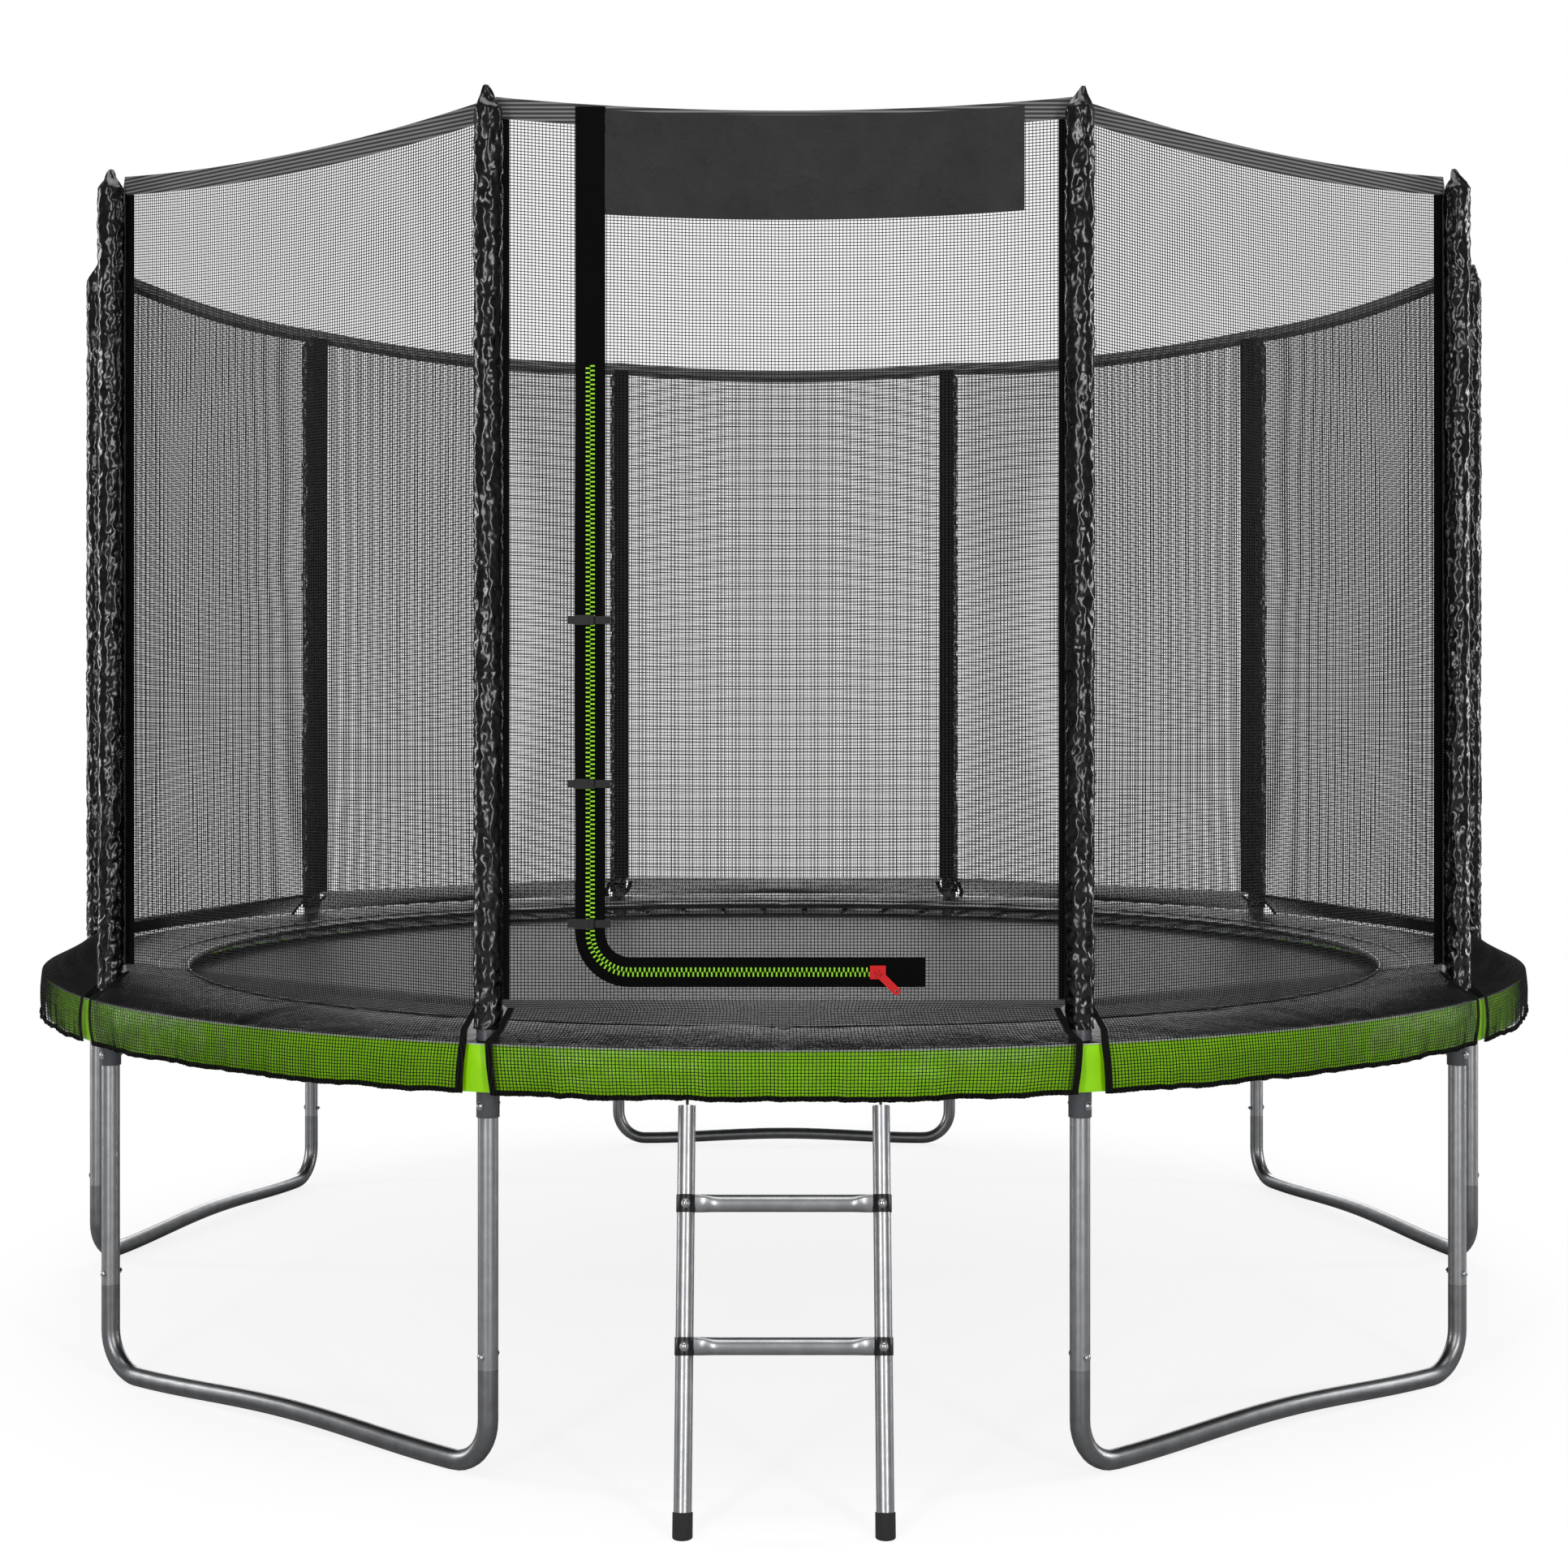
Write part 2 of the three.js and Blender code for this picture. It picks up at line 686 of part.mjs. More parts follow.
// A flat tab whose end bar passes under the slider's arch, drawn along +X first.
function addPull() {
  const face = TEETH_FACE + FIT_GAP + SLIDER_THICKNESS;
  const hinge = -(face + (BAIL_HEIGHT - BAIL_BAR) / 2);
  const half = PULL_WIDTH / 2;
  const shape = rectangle(-PULL_BAR / 2, PULL_LENGTH - half, -half, half);
  const tab = facing(shape, PULL_THICKNESS / 2, PULL_THICKNESS);
  const round = new THREE.CylinderGeometry(half, half, PULL_THICKNESS, 16)
    .translate(PULL_LENGTH - half, 0, 0);
  const eye = BAIL_WIDTH / 2 + PULL_SLACK;
  const window = box(PULL_BAR / 2, PULL_EYE, -half, half, -eye, eye);
  const hole = new THREE.CylinderGeometry(
    PULL_HOLE / 2,
    PULL_HOLE / 2,
    PULL_WIDTH,
    TUBE_SIDES,
  ).translate(PULL_LENGTH - half, 0, 0);
  addMesh(
    "zip_pull",
    cut(join(tab, round), window, hole)
      .rotateY(-PULL_TURN)
      .translate(SLIDER_X, hinge, ZIP_BOTTOM),
    RED_PLASTIC,
  );
}

// ---- buckles ------------------------------------------------------------------

function addBuckle(k, z) {
  const back = -(TEETH_FACE + FIT_GAP);
  const front = back - BUCKLE_DEPTH;
  const mouth = BUCKLE_SOCKET_X + BUCKLE_SOCKET_LENGTH;
  const half = BUCKLE_HEIGHT / 2;
  const strap = STRAP_WIDTH / 2;
  const wall = BUCKLE_WALL;
  const socket = cut(
    box(BUCKLE_SOCKET_X, mouth, front, back, z - half, z + half),
    box(
      BUCKLE_SOCKET_X + wall,
      mouth + 1,
      front + wall,
      back - wall,
      z - half + wall,
      z + half - wall,
    ),
  );
  const strapBack = -(NET_OUT + FIT_GAP);
  const socketStrap = box(
    BUCKLE_SOCKET_X - STRAP_SOCKET_LENGTH,
    BUCKLE_SOCKET_X + wall / 2,
    back - STRAP_THICKNESS,
    back,
    z - strap,
    z + strap,
  );
  const stitched = box(
    BUCKLE_SOCKET_X - STRAP_SOCKET_LENGTH,
    ZIP_X - TAPE_WIDTH / 2 - FIT_GAP,
    back - STRAP_THICKNESS,
    strapBack,
    z - strap,
    z + strap,
  );
  addMesh(
    `buckle_socket_${k + 1}`,
    join(socket, socketStrap, stitched),
    BLACK_PLASTIC,
  );

  const slack = wall + FIT_GAP;
  const collarStart = mouth + FIT_GAP;
  const collarEnd = collarStart + BUCKLE_COLLAR;
  const tongue = cut(
    box(
      mouth - BUCKLE_TONGUE,
      collarStart + 1,
      front + slack,
      back - slack,
      z - half + slack,
      z + half - slack,
    ),
    box(
      mouth - BUCKLE_TONGUE - 1,
      mouth - BUCKLE_SLOT,
      front - 1,
      back + 1,
      z - BUCKLE_SLOT / 2,
      z + BUCKLE_SLOT / 2,
    ),
  );
  addMesh(
    `buckle_clip_${k + 1}`,
    join(
      tongue,
      box(collarStart, collarEnd, front, back, z - half, z + half),
      box(
        collarEnd - 1,
        collarEnd + STRAP_CLIP_LENGTH,
        back - STRAP_THICKNESS,
        back,
        z - strap,
        z + strap,
      ),
    ),
    BLACK_PLASTIC,
  );
}

// ---- ladder -------------------------------------------------------------------

// The Y of a ladder rail's centreline at a height.
const LADDER_TOP_Z = SKIRT_BOTTOM - LADDER_UNDER_SKIRT;
const LADDER_SLOPE = (LADDER_FOOT_OUT - LADDER_TOP_OUT) / LADDER_TOP_Z;
const ladderY = (z) => LADDER_RING_Y - LADDER_FOOT_OUT + LADDER_SLOPE * z;
const ladderPoint = (x, z) => new THREE.Vector3(x, ladderY(z), z);

// A flat hook over the ring, on a stem that is let into the top of the rail.
function hook(x) {
  const inner = HOOK_INSIDE;
  const outer = HOOK_OUTSIDE;
  const from = THREE.MathUtils.degToRad(HOOK_TIP);
  const to = THREE.MathUtils.degToRad(200);
  const steps = 12;
  const arc = (radius) =>
    Array.from({ length: steps + 1 }, (_, i) => {
      const angle = from + ((to - from) * i) / steps;
      return new THREE.Vector2(
        LADDER_RING_Y + radius * Math.cos(angle),
        RAIL_HEIGHT + radius * Math.sin(angle),
      );
    });
  const ring = new THREE.Shape([...arc(outer), ...arc(inner).reverse()]);
  const low = LADDER_TOP_Z - LADDER_TUBE;
  const reach = LADDER_RING_Y - outer;
  const stem = new THREE.Shape([
    new THREE.Vector2(reach, RAIL_HEIGHT),
    new THREE.Vector2(reach, LADDER_TOP_Z + HOOK_STEM / 2),
    new THREE.Vector2(ladderY(low) - HOOK_STEM / 2, low),
    new THREE.Vector2(ladderY(low) + HOOK_STEM / 2, low),
    new THREE.Vector2(reach + HOOK_STEM, LADDER_TOP_Z + HOOK_STEM / 2),
    new THREE.Vector2(LADDER_RING_Y - inner + 1, RAIL_HEIGHT - outer / 2),
    new THREE.Vector2(LADDER_RING_Y - inner - 1, RAIL_HEIGHT),
  ]);
  // Y and Z of the drawing are carried to the world, with the thickness along X.
  const place = new THREE.Matrix4().makeBasis(
    new THREE.Vector3(0, 1, 0),
    new THREE.Vector3(0, 0, 1),
    new THREE.Vector3(1, 0, 0),
  );
  const plate = (shape) =>
    new THREE.ExtrudeGeometry(shape, {
      depth: HOOK_THICKNESS,
      bevelEnabled: false,
    })
      .applyMatrix4(place)
      .translate(x - HOOK_THICKNESS / 2, 0, 0);
  return join(plate(ring), plate(stem));
}

function addLadderRail(side, x) {
  const start = ladderPoint(x, FOOT_FLOOR + LADDER_TUBE / 4);
  const end = ladderPoint(x, LADDER_TOP_Z);
  const tube = sweep([start, end], LADDER_TUBE / 2);
  addMesh(`ladder_rail_${side}`, join(tube, hook(x)), STEEL);
}

// A rubber cap over the rail's end, cut level where it stands on the ground.
function addLadderFoot(side, x) {
  const below = ladderPoint(x, -2 * FOOT_RADIUS);
  const top = ladderPoint(x, FOOT_LENGTH);
  const cap = sweep([below, top], FOOT_RADIUS);
  const seat = sweep(
    [
      ladderPoint(x, FOOT_FLOOR + LADDER_TUBE / 4 - FIT_GAP),
      ladderPoint(x, FOOT_LENGTH + 2 * FOOT_RADIUS),
    ],
    boreFor(LADDER_TUBE / 2),
  );
  const span = 8 * FOOT_RADIUS;
  const y = ladderY(0);
  const ground = box(x - span, x + span, y - span, y + span, -span, 0);
  addMesh(`ladder_foot_${side}`, cut(cap, seat, ground), RUBBER);
}

// A round rung whose flattened ends butt on the rails.
function addRung(name, z) {
  const reach = LADDER_X - LADDER_TUBE / 2 - FIT_GAP;
  const bar = sweep(
    [
      new THREE.Vector3(-reach + RUNG_FLAT_LENGTH, ladderY(z), z),
      new THREE.Vector3(reach - RUNG_FLAT_LENGTH, ladderY(z), z),
    ],
    RUNG_DIAMETER / 2,
  );
  const half = RUNG_FLAT / 2;
  const flat = box(
    -reach,
    reach,
    ladderY(z) - half,
    ladderY(z) + half,
    z - RUNG_DIAMETER / 2,
    z + RUNG_DIAMETER / 2,
  );
  addMesh(`ladder_rung_${name}`, join(bar, flat), STEEL);
}

// ---- assembly -----------------------------------------------------------------

for (let i = 0; i < BAYS; i += 1) {
  addRail(i);
  addUpright(i);
  addPole(i);
}
LEG_PAIRS.forEach((pair, k) => addBase(k, pair));
addMat();
addSprings();
addPad();
addSkirt();
addNet("net_front_panel", -1, 1);
addNet("net_right", 0, SIDE_BAYS);
addNet("net_back", SIDE_BAYS, SIDE_BAYS);
addNet("net_left", 2 * SIDE_BAYS, SIDE_BAYS);
addZip();
addBanner();
addSlider();
addPull();
BUCKLE_RISES.forEach((rise, k) => addBuckle(k, ZIP_BOTTOM + rise));
addLadderRail("left", -LADDER_X);
addLadderRail("right", LADDER_X);
addLadderFoot("left", -LADDER_X);
addLadderFoot("right", LADDER_X);
Object.entries(RUNG_HEIGHTS).forEach(([name, z]) => addRung(name, z));

export default part;
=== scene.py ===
"""The looks of a round backyard trampoline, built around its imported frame.

Metres, +Z up, the door and the ladder towards -Y. Places come from the frame's
own boxes.
"""

import math

import bpy
from mathutils import Matrix, Vector, noise


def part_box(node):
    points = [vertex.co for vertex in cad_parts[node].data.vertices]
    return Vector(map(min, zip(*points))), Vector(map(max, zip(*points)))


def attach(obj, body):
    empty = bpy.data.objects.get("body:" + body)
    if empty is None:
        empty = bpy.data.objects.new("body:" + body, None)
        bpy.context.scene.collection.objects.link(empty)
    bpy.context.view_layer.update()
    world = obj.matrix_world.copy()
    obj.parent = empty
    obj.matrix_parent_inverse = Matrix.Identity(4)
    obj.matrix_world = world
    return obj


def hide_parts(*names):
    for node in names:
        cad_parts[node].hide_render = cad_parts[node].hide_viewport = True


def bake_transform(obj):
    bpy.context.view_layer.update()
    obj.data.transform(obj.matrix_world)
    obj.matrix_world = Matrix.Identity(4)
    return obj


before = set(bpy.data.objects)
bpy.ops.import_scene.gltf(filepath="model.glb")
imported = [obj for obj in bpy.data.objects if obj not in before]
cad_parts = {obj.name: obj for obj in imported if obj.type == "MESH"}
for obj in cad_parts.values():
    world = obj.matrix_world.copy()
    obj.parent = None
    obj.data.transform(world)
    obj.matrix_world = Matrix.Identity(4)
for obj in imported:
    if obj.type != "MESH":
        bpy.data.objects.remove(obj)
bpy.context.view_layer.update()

# ---- Camera ----
# A level camera a little above the mat, straight in front of the door.

MM = 0.001
EYE_DISTANCE = 6.072
EYE_HEIGHT = 1.434
LENS = 52.9
FRAMING_SHIFT = -0.0414

bpy.ops.object.select_all(action="DESELECT")
bpy.ops.object.camera_add(
    location=(0, -EYE_DISTANCE, EYE_HEIGHT), rotation=(math.pi / 2, 0, 0)
)
camera = bpy.context.object
camera.data.lens = LENS
camera.data.sensor_width = 36
camera.data.shift_y = FRAMING_SHIFT
camera.data.clip_end = 200
bpy.context.scene.camera = camera
bpy.context.scene.view_settings.view_transform = "Standard"

# ---- Studio ----
# A pale floor that runs out to white, two tall soft lights in front, one light
# overhead, one behind and two at the sides. Only reflections see the room's grey
# and the floor's darker tone.

FLOOR_SIZE = 60
FLOOR_FADE = (1.9, 3.6)  # from the middle, where the floor's grey turns to white
ROOM_GREY = 0.22
FLOOR_GLOW = 0.84  # keeps the floor pale where the trampoline shades it
GLOW_SHARE = 0.75


def colour(code):
    """An sRGB hex value as linear RGBA."""
    parts = [int(code[i : i + 2], 16) / 255 for i in (1, 3, 5)]
    linear = [c / 12.92 if c < 0.04045 else ((c + 0.055) / 1.055) ** 2.4 for c in parts]
    return (*linear, 1)


def add_node(material, kind, inputs=None, **settings):
    """One node, with its settings, and its sockets set or linked."""
    tree = material.node_tree
    made = tree.nodes.new(kind)
    for name, value in settings.items():
        setattr(made, name, value)
    for name, value in (inputs or {}).items():
        if isinstance(value, bpy.types.NodeSocket):
            tree.links.new(value, made.inputs[name])
        else:
            made.inputs[name].default_value = value
    return made


def room_light():
    """White to the eye, grey to everything that the room lights."""
    world = bpy.data.worlds.new("studio_room")
    world.use_nodes = True
    bpy.context.scene.world = world
    world.node_tree.nodes.clear()
    path = add_node(world, "ShaderNodeLightPath")
    seen = add_node(world, "ShaderNodeBackground", {"Strength": 1.0})
    seen.inputs["Color"].default_value = (1, 1, 1, 1)
    lit = add_node(world, "ShaderNodeBackground", {"Strength": ROOM_GREY})
    mix = add_node(
        world,
        "ShaderNodeMixShader",
        {0: path.outputs["Is Camera Ray"], 1: lit.outputs[0], 2: seen.outputs[0]},
    )
    add_node(world, "ShaderNodeOutputWorld", {"Surface": mix.outputs[0]})


def soft_light(name, place, target, width, height, power):
    """A rectangular light aimed at a target, out of the camera's sight."""
    bpy.ops.object.light_add(type="AREA", location=place)
    lamp = bpy.context.object
    lamp.name = name
    lamp.data.shape = "RECTANGLE"
    lamp.data.size = width
    lamp.data.size_y = height
    lamp.data.energy = power
    aim = Vector(target) - Vector(place)
    lamp.rotation_euler = aim.to_track_quat("-Z", "Y").to_euler()
    lamp.visible_camera = False


room_light()
soft_light("front_left_light", (-3.0, -8.0, 2.6), (0, 0, 1.2), 0.7, 5, 175)
soft_light("front_right_light", (3.4, -8.0, 2.6), (0, 0, 1.2), 0.7, 5, 175)
soft_light("top_light", (0, -0.5, 7.5), (0, 0, 0), 6, 6, 330)
soft_light("back_light", (0, 9.5, 3.4), (0, 0, 1.6), 9, 5, 480)
soft_light("left_light", (-8.0, 0.5, 2.6), (0, 0, 1.2), 1.0, 5, 190)
soft_light("right_light", (8.0, 0.5, 2.6), (0, 0, 1.2), 1.0, 5, 190)


def mixed(material, share, first, second):
    """Two shaders mixed, with the share of the second."""
    return add_node(
        material,
        "ShaderNodeMixShader",
        {0: share, 1: first.outputs[0], 2: second.outputs[0]},
    )


floor_paint = bpy.data.materials.new("Pale_studio_floor")
floor_paint.use_nodes = True
floor_paint.node_tree.nodes.clear()
where = add_node(floor_paint, "ShaderNodeTexCoord")
reach = add_node(
    floor_paint,
    "ShaderNodeVectorMath",
    {0: where.outputs["Object"]},
    operation="LENGTH",
)
fade = add_node(
    floor_paint,
    "ShaderNodeMapRange",
    {
        "Value": reach.outputs["Value"],
        "From Min": FLOOR_FADE[0],
        "From Max": FLOOR_FADE[1],
    },
    interpolation_type="SMOOTHSTEP",
)
matte, dim = (
    add_node(floor_paint, "ShaderNodeBsdfDiffuse", {"Color": (grey, grey, grey, 1)})
    for grey in (0.9, 0.4)
)
pale, glow = (
    add_node(
        floor_paint,
        "ShaderNodeEmission",
        {"Color": (1, 1, 1, 1), "Strength": strength},
    )
    for strength in (FLOOR_GLOW / GLOW_SHARE, 1.0)
)
shaded = mixed(floor_paint, GLOW_SHARE, matte, pale)
blended = mixed(floor_paint, fade.outputs[0], shaded, glow)
looked_at = add_node(floor_paint, "ShaderNodeLightPath")
shown = mixed(floor_paint, looked_at.outputs["Is Camera Ray"], dim, blended)
add_node(floor_paint, "ShaderNodeOutputMaterial", {"Surface": shown.outputs[0]})
bpy.ops.mesh.primitive_plane_add(size=FLOOR_SIZE, location=(0, 0, 0))
floor = bpy.context.object
floor.name = "studio_floor"
floor.data.materials.append(floor_paint)

# ---- Legs ----
# Ten straight uprights stand on five bases, each base one steel tube bent to a U
# with its middle bowed off the ground. The tube is drawn, then zinc-coated, which
# leaves it bright and satin with faint lines along its length.

BAYS = 10
BAY = 2 * math.pi / BAYS
TUBE = 19.5 * MM
BASE_BEND = 90 * MM
BASE_BOW = 15 * MM
STUB_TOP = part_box("leg_upright_1")[0].z
UPRIGHT_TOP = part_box("leg_upright_1")[1].z
SEAM_GAP = 0.3 * MM
pole_low, pole_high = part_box("padded_pole_1")
POLE = (pole_low + pole_high) / 2
RING = math.hypot(POLE.x, POLE.y)
LEG_PAIRS = [(9, 8), (0, 1), (7, 6), (2, 3), (4, 5)]  # poles that share a base


def pole_angle(i):
    """From -Y towards +X; pole 0 is on the right of the door."""
    return (i + 0.5) * BAY


def around(angle, radius, z=0.0):
    """A place at an angle and a radius about the middle."""
    return Vector((radius * math.sin(angle), -radius * math.cos(angle), z))


def finish(name, code, metallic=0.0, roughness=0.5, **shader):
    """A material with its main shader set, and that shader."""
    material = bpy.data.materials.new(name)
    material.use_nodes = True
    surface = material.node_tree.nodes["Principled BSDF"]
    surface.inputs["Base Color"].default_value = colour(code)
    surface.inputs["Metallic"].default_value = metallic
    surface.inputs["Roughness"].default_value = roughness
    for name, value in shader.items():
        surface.inputs[name.replace("_", " ")].default_value = value
    return material, surface


def place_of(material, scale=(1, 1, 1)):
    """The piece's own coordinates, stretched."""
    here = add_node(material, "ShaderNodeTexCoord")
    stretched = add_node(
        material,
        "ShaderNodeMapping",
        {"Vector": here.outputs["Object"], "Scale": scale},
    )
    return stretched.outputs[0]


def noise_in(material, scale, detail, stretch=(1, 1, 1), rough=0.5):
    """Noise on the piece's own coordinates."""
    grain = add_node(
        material,
        "ShaderNodeTexNoise",
        {
            "Vector": place_of(material, stretch),
            "Scale": scale,
            "Detail": detail,
            "Roughness": rough,
        },
    )
    return grain.outputs[0]


def roughen(material, surface, grain, low, high):
    """Roughness that wanders between two values with the grain."""
    spread = add_node(
        material,
        "ShaderNodeMapRange",
        {"Value": grain, "To Min": low, "To Max": high},
    )
    material.node_tree.links.new(spread.outputs[0], surface.inputs["Roughness"])


def emboss(material, surface, height, distance, strength=1.0):
    """Bump of a real depth in metres."""
    bump = add_node(
        material,
        "ShaderNodeBump",
        {"Height": height, "Distance": distance, "Strength": strength},
    )
    material.node_tree.links.new(bump.outputs[0], surface.inputs["Normal"])


def shade_by(material, surface, factor, dark, light):
    """Base colour between two values."""
    ramp = add_node(material, "ShaderNodeValToRGB", {"Fac": factor})
    ramp.color_ramp.elements[0].color = colour(dark)
    ramp.color_ramp.elements[1].color = colour(light)
    material.node_tree.links.new(ramp.outputs[0], surface.inputs["Base Color"])


def grained(name, code, rough, grain, spread=None, shades=None, bump=None, **more):
    """A finish with one noise behind its roughness, its shades and its bump.

    The grain is a scale, a detail, a stretch and a roughness; the rest are pairs.
    """
    metallic = more.pop("metallic", 0.0)
    material, surface = finish(name, code, metallic, rough, **more)
    cloud = noise_in(material, *grain)
    if shades:
        shade_by(material, surface, cloud, *shades)
    if spread:
        roughen(material, surface, cloud, *spread)
    if bump:
        emboss(material, surface, cloud, *bump)
    return material


def zinc_coated_steel(name, dark, light):
    """Drawn tube, zinc-coated: satin, with cloudy zinc and fine drawing lines."""
    material, surface = finish(name, light, 1.0, 0.34)
    cloud = noise_in(material, 38.0, 5.0)
    lines = noise_in(material, 1.0, 3.0, (900, 900, 14))
    shade_by(material, surface, cloud, dark, light)
    roughen(material, surface, lines, 0.26, 0.46)
    emboss(material, surface, lines, 0.00006, 0.5)
    return material


def shown_as(piece, name, material):
    """Names a finished piece and gives it its material and slot."""
    piece.name = name
    piece.data.name = name
    piece.data.materials.clear()
    piece.data.materials.append(material)
    return piece


def cylinder(sides, radius, depth, at=(0, 0, 0), **more):
    """A cylinder about Z, unless more turns it or opens its ends."""
    bpy.ops.mesh.primitive_cylinder_add(
        vertices=sides, radius=radius, depth=depth, location=at, **more
    )
    return bpy.context.object


def pick(*pieces):
    """Selects the pieces alone, and makes the first one active."""
    bpy.ops.object.select_all(action="DESELECT")
    for piece in pieces:
        piece.select_set(True)
    bpy.context.view_layer.objects.active = pieces[0]


def smooth(piece, degrees=40):
    """Smooth shading, with sharp edges above the angle."""
    pick(piece)
    bpy.ops.object.shade_smooth_by_angle(angle=math.radians(degrees))
    return piece


def refine(piece, kind, **settings):
    """Adds a modifier with its settings and applies it."""
    pick(piece)
    step = piece.modifiers.new(kind, kind)
    for name, value in settings.items():
        setattr(step, name, value)
    bpy.ops.object.modifier_apply(modifier=step.name)


def meshed(name, points, faces):
    """A new piece made of points and faces."""
    mesh = bpy.data.meshes.new(name)
    mesh.from_pydata(points, [], faces)
    piece = bpy.data.objects.new(name, mesh)
    bpy.context.scene.collection.objects.link(piece)
    return piece


def face_outward(piece):
    """Turns every face of a closed piece outward."""
    pick(piece)
    bpy.ops.object.mode_set(mode="EDIT")
    bpy.ops.mesh.select_all(action="SELECT")
    bpy.ops.mesh.normals_make_consistent(inside=False)
    bpy.ops.object.mode_set(mode="OBJECT")
    return piece


def settle(piece):
    """Puts the piece's place into its mesh."""
    bpy.context.view_layer.update()
    piece.data.transform(piece.matrix_world)
    piece.matrix_world = Matrix.Identity(4)
    return piece


def bent_tube(points, radius, sides=28):
    """A round tube swept through the points, closed at its ends."""
    line = bpy.data.curves.new("tube", "CURVE")
    line.dimensions = "3D"
    line.bevel_depth = radius
    line.bevel_resolution = sides // 4 - 1
    line.use_fill_caps = True
    spline = line.splines.new("POLY")
    spline.points.add(len(points) - 1)
    for point, place in zip(spline.points, points):
        point.co = (*place, 1)
    piece = bpy.data.objects.new("tube", line)
    bpy.context.scene.collection.objects.link(piece)
    pick(piece)
    bpy.ops.object.convert(target="MESH")
    return smooth(bpy.context.object)


def joined(pieces):
    """One object made of several."""
    pick(*pieces)
    if len(pieces) > 1:
        bpy.ops.object.join()
    return bpy.context.object


def copy_of(piece, matrix):
    """A copy with a mesh of its own, moved by the matrix."""
    twin = piece.copy()
    twin.data = piece.data.copy()
    twin.data.transform(matrix)
    bpy.context.scene.collection.objects.link(twin)
    return twin


def base_line(a, b):
    """Down a stub, round the bend, along the bowed middle and up the other stub."""
    span = (b - a).length
    along = (b - a).normalized()
    steps = 10
    half = [(0.0, STUB_TOP - SEAM_GAP)]
    for i in range(steps + 1):
        turn = math.pi / 2 * i / steps
        half.append(
            (BASE_BEND * (1 - math.cos(turn)), TUBE + BASE_BEND * (1 - math.sin(turn)))
        )
    flat = span - 2 * BASE_BEND
    middle = []
    for i in range(1, 24):
        share = i / 24
        lift = BASE_BOW * (1 - math.cos(2 * math.pi * share)) / 2
        middle.append((BASE_BEND + flat * share, TUBE + lift))
    mirrored = [(span - d, z) for d, z in reversed(half)]
    return [
        (a + along * d) + Vector((0, 0, z)) for d, z in [*half, *middle, *mirrored]
    ]


zinc_steel = zinc_coated_steel("Zinc_coated_drawn_steel", "#9A9B9E", "#C8C9CB")
# Painted shade: the bases get a darker copy of the same zinc finish, for the shade they
# lie in under the trampoline.
base_steel_painted_shade = zinc_coated_steel("Zinc_coated_steel_painted_shade", "#7C7D80", "#A9AAAC")
for k, (i, j) in enumerate(LEG_PAIRS):
    a = around(pole_angle(i), RING)
    b = around(pole_angle(j), RING)
    base = bent_tube(base_line(a, b), TUBE)
    shown_as(base, f"leg_base_tube_{k + 1}", base_steel_painted_shade)
    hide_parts(f"leg_base_{k + 1}")
    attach(base, "root")

for i in range(BAYS):
    foot = around(pole_angle(i), RING, STUB_TOP)
    head = around(pole_angle(i), RING, UPRIGHT_TOP)
    leg = bent_tube([foot, head], TUBE)
    shown_as(leg, f"leg_upright_tube_{i + 1}", zinc_steel)
    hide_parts(f"leg_upright_{i + 1}")
    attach(leg, "root")

# ---- Ring ----
# Ten bent rails plug into each other. A short upright socket is welded on each,
# and the socket and its weld are painted dark grey over the zinc.

RAIL = 21 * MM
SOCKET = 22 * MM
SOCKET_BORE = 20.4 * MM
rail_low, rail_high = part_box("top_rail_1")
SOCKET_LOW = rail_low.z
SOCKET_HIGH = rail_high.z
RAIL_Z = 0.785
RAIL_STEPS = 24


def socket_sleeve():
    """An open steel sleeve with rolled edges, at the origin."""
    height = SOCKET_HIGH - SOCKET_LOW
    sleeve = cylinder(40, SOCKET, height, end_fill_type="NOTHING")
    refine(sleeve, "SOLIDIFY", thickness=SOCKET - SOCKET_BORE, offset=-1)
    refine(sleeve, "BEVEL", width=0.6 * MM, segments=2, limit_method="ANGLE")
    sleeve.location.z = (SOCKET_LOW + SOCKET_HIGH) / 2
    return smooth(settle(sleeve))


# Sprayed enamel, with the orange peel of a thick coat.
socket_enamel = grained(
    "Sprayed_dark_grey_enamel", "#55565A", 0.42, (420.0, 2.0),
    shades=("#46474B", "#63646A"), bump=(0.0002, 0.4), metallic=0.15,
)
sleeve_model = socket_sleeve()
sleeve_model.data.materials.append(socket_enamel)
for i in range(BAYS):
    start = pole_angle(i) + SOCKET * 0.95 / RING
    end = pole_angle(i + 1) - SOCKET * 1.02 / RING
    arc = [
        around(start + (end - start) * k / RAIL_STEPS, RING, RAIL_Z)
        for k in range(RAIL_STEPS + 1)
    ]
    rail = bent_tube(arc, RAIL)
    rail.data.materials.append(zinc_steel)
    sleeve = copy_of(
        sleeve_model, Matrix.Translation(around(pole_angle(i), RING))
    )
    rail = joined([rail, sleeve])
    rail.name = f"ring_rail_{i + 1}"
    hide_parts(f"top_rail_{i + 1}")
    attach(rail, "root")
bpy.data.objects.remove(sleeve_model)

# ---- Leg bolts ----
# A domed bolt through each socket and each base stub, square to the leg's plane,
# with its nut on the far side. Bright zinc plate.

BOLT_HEAD = 6.5 * MM
SOCKET_BOLT_Z = 0.706
STUB_BOLT_Z = 0.232


def bar_along_x(sides, radius, length, x):
    """A solid bar along X with its middle at x."""
    return cylinder(sides, radius, length, (x, 0, 0), rotation=(0, math.pi / 2, 0))


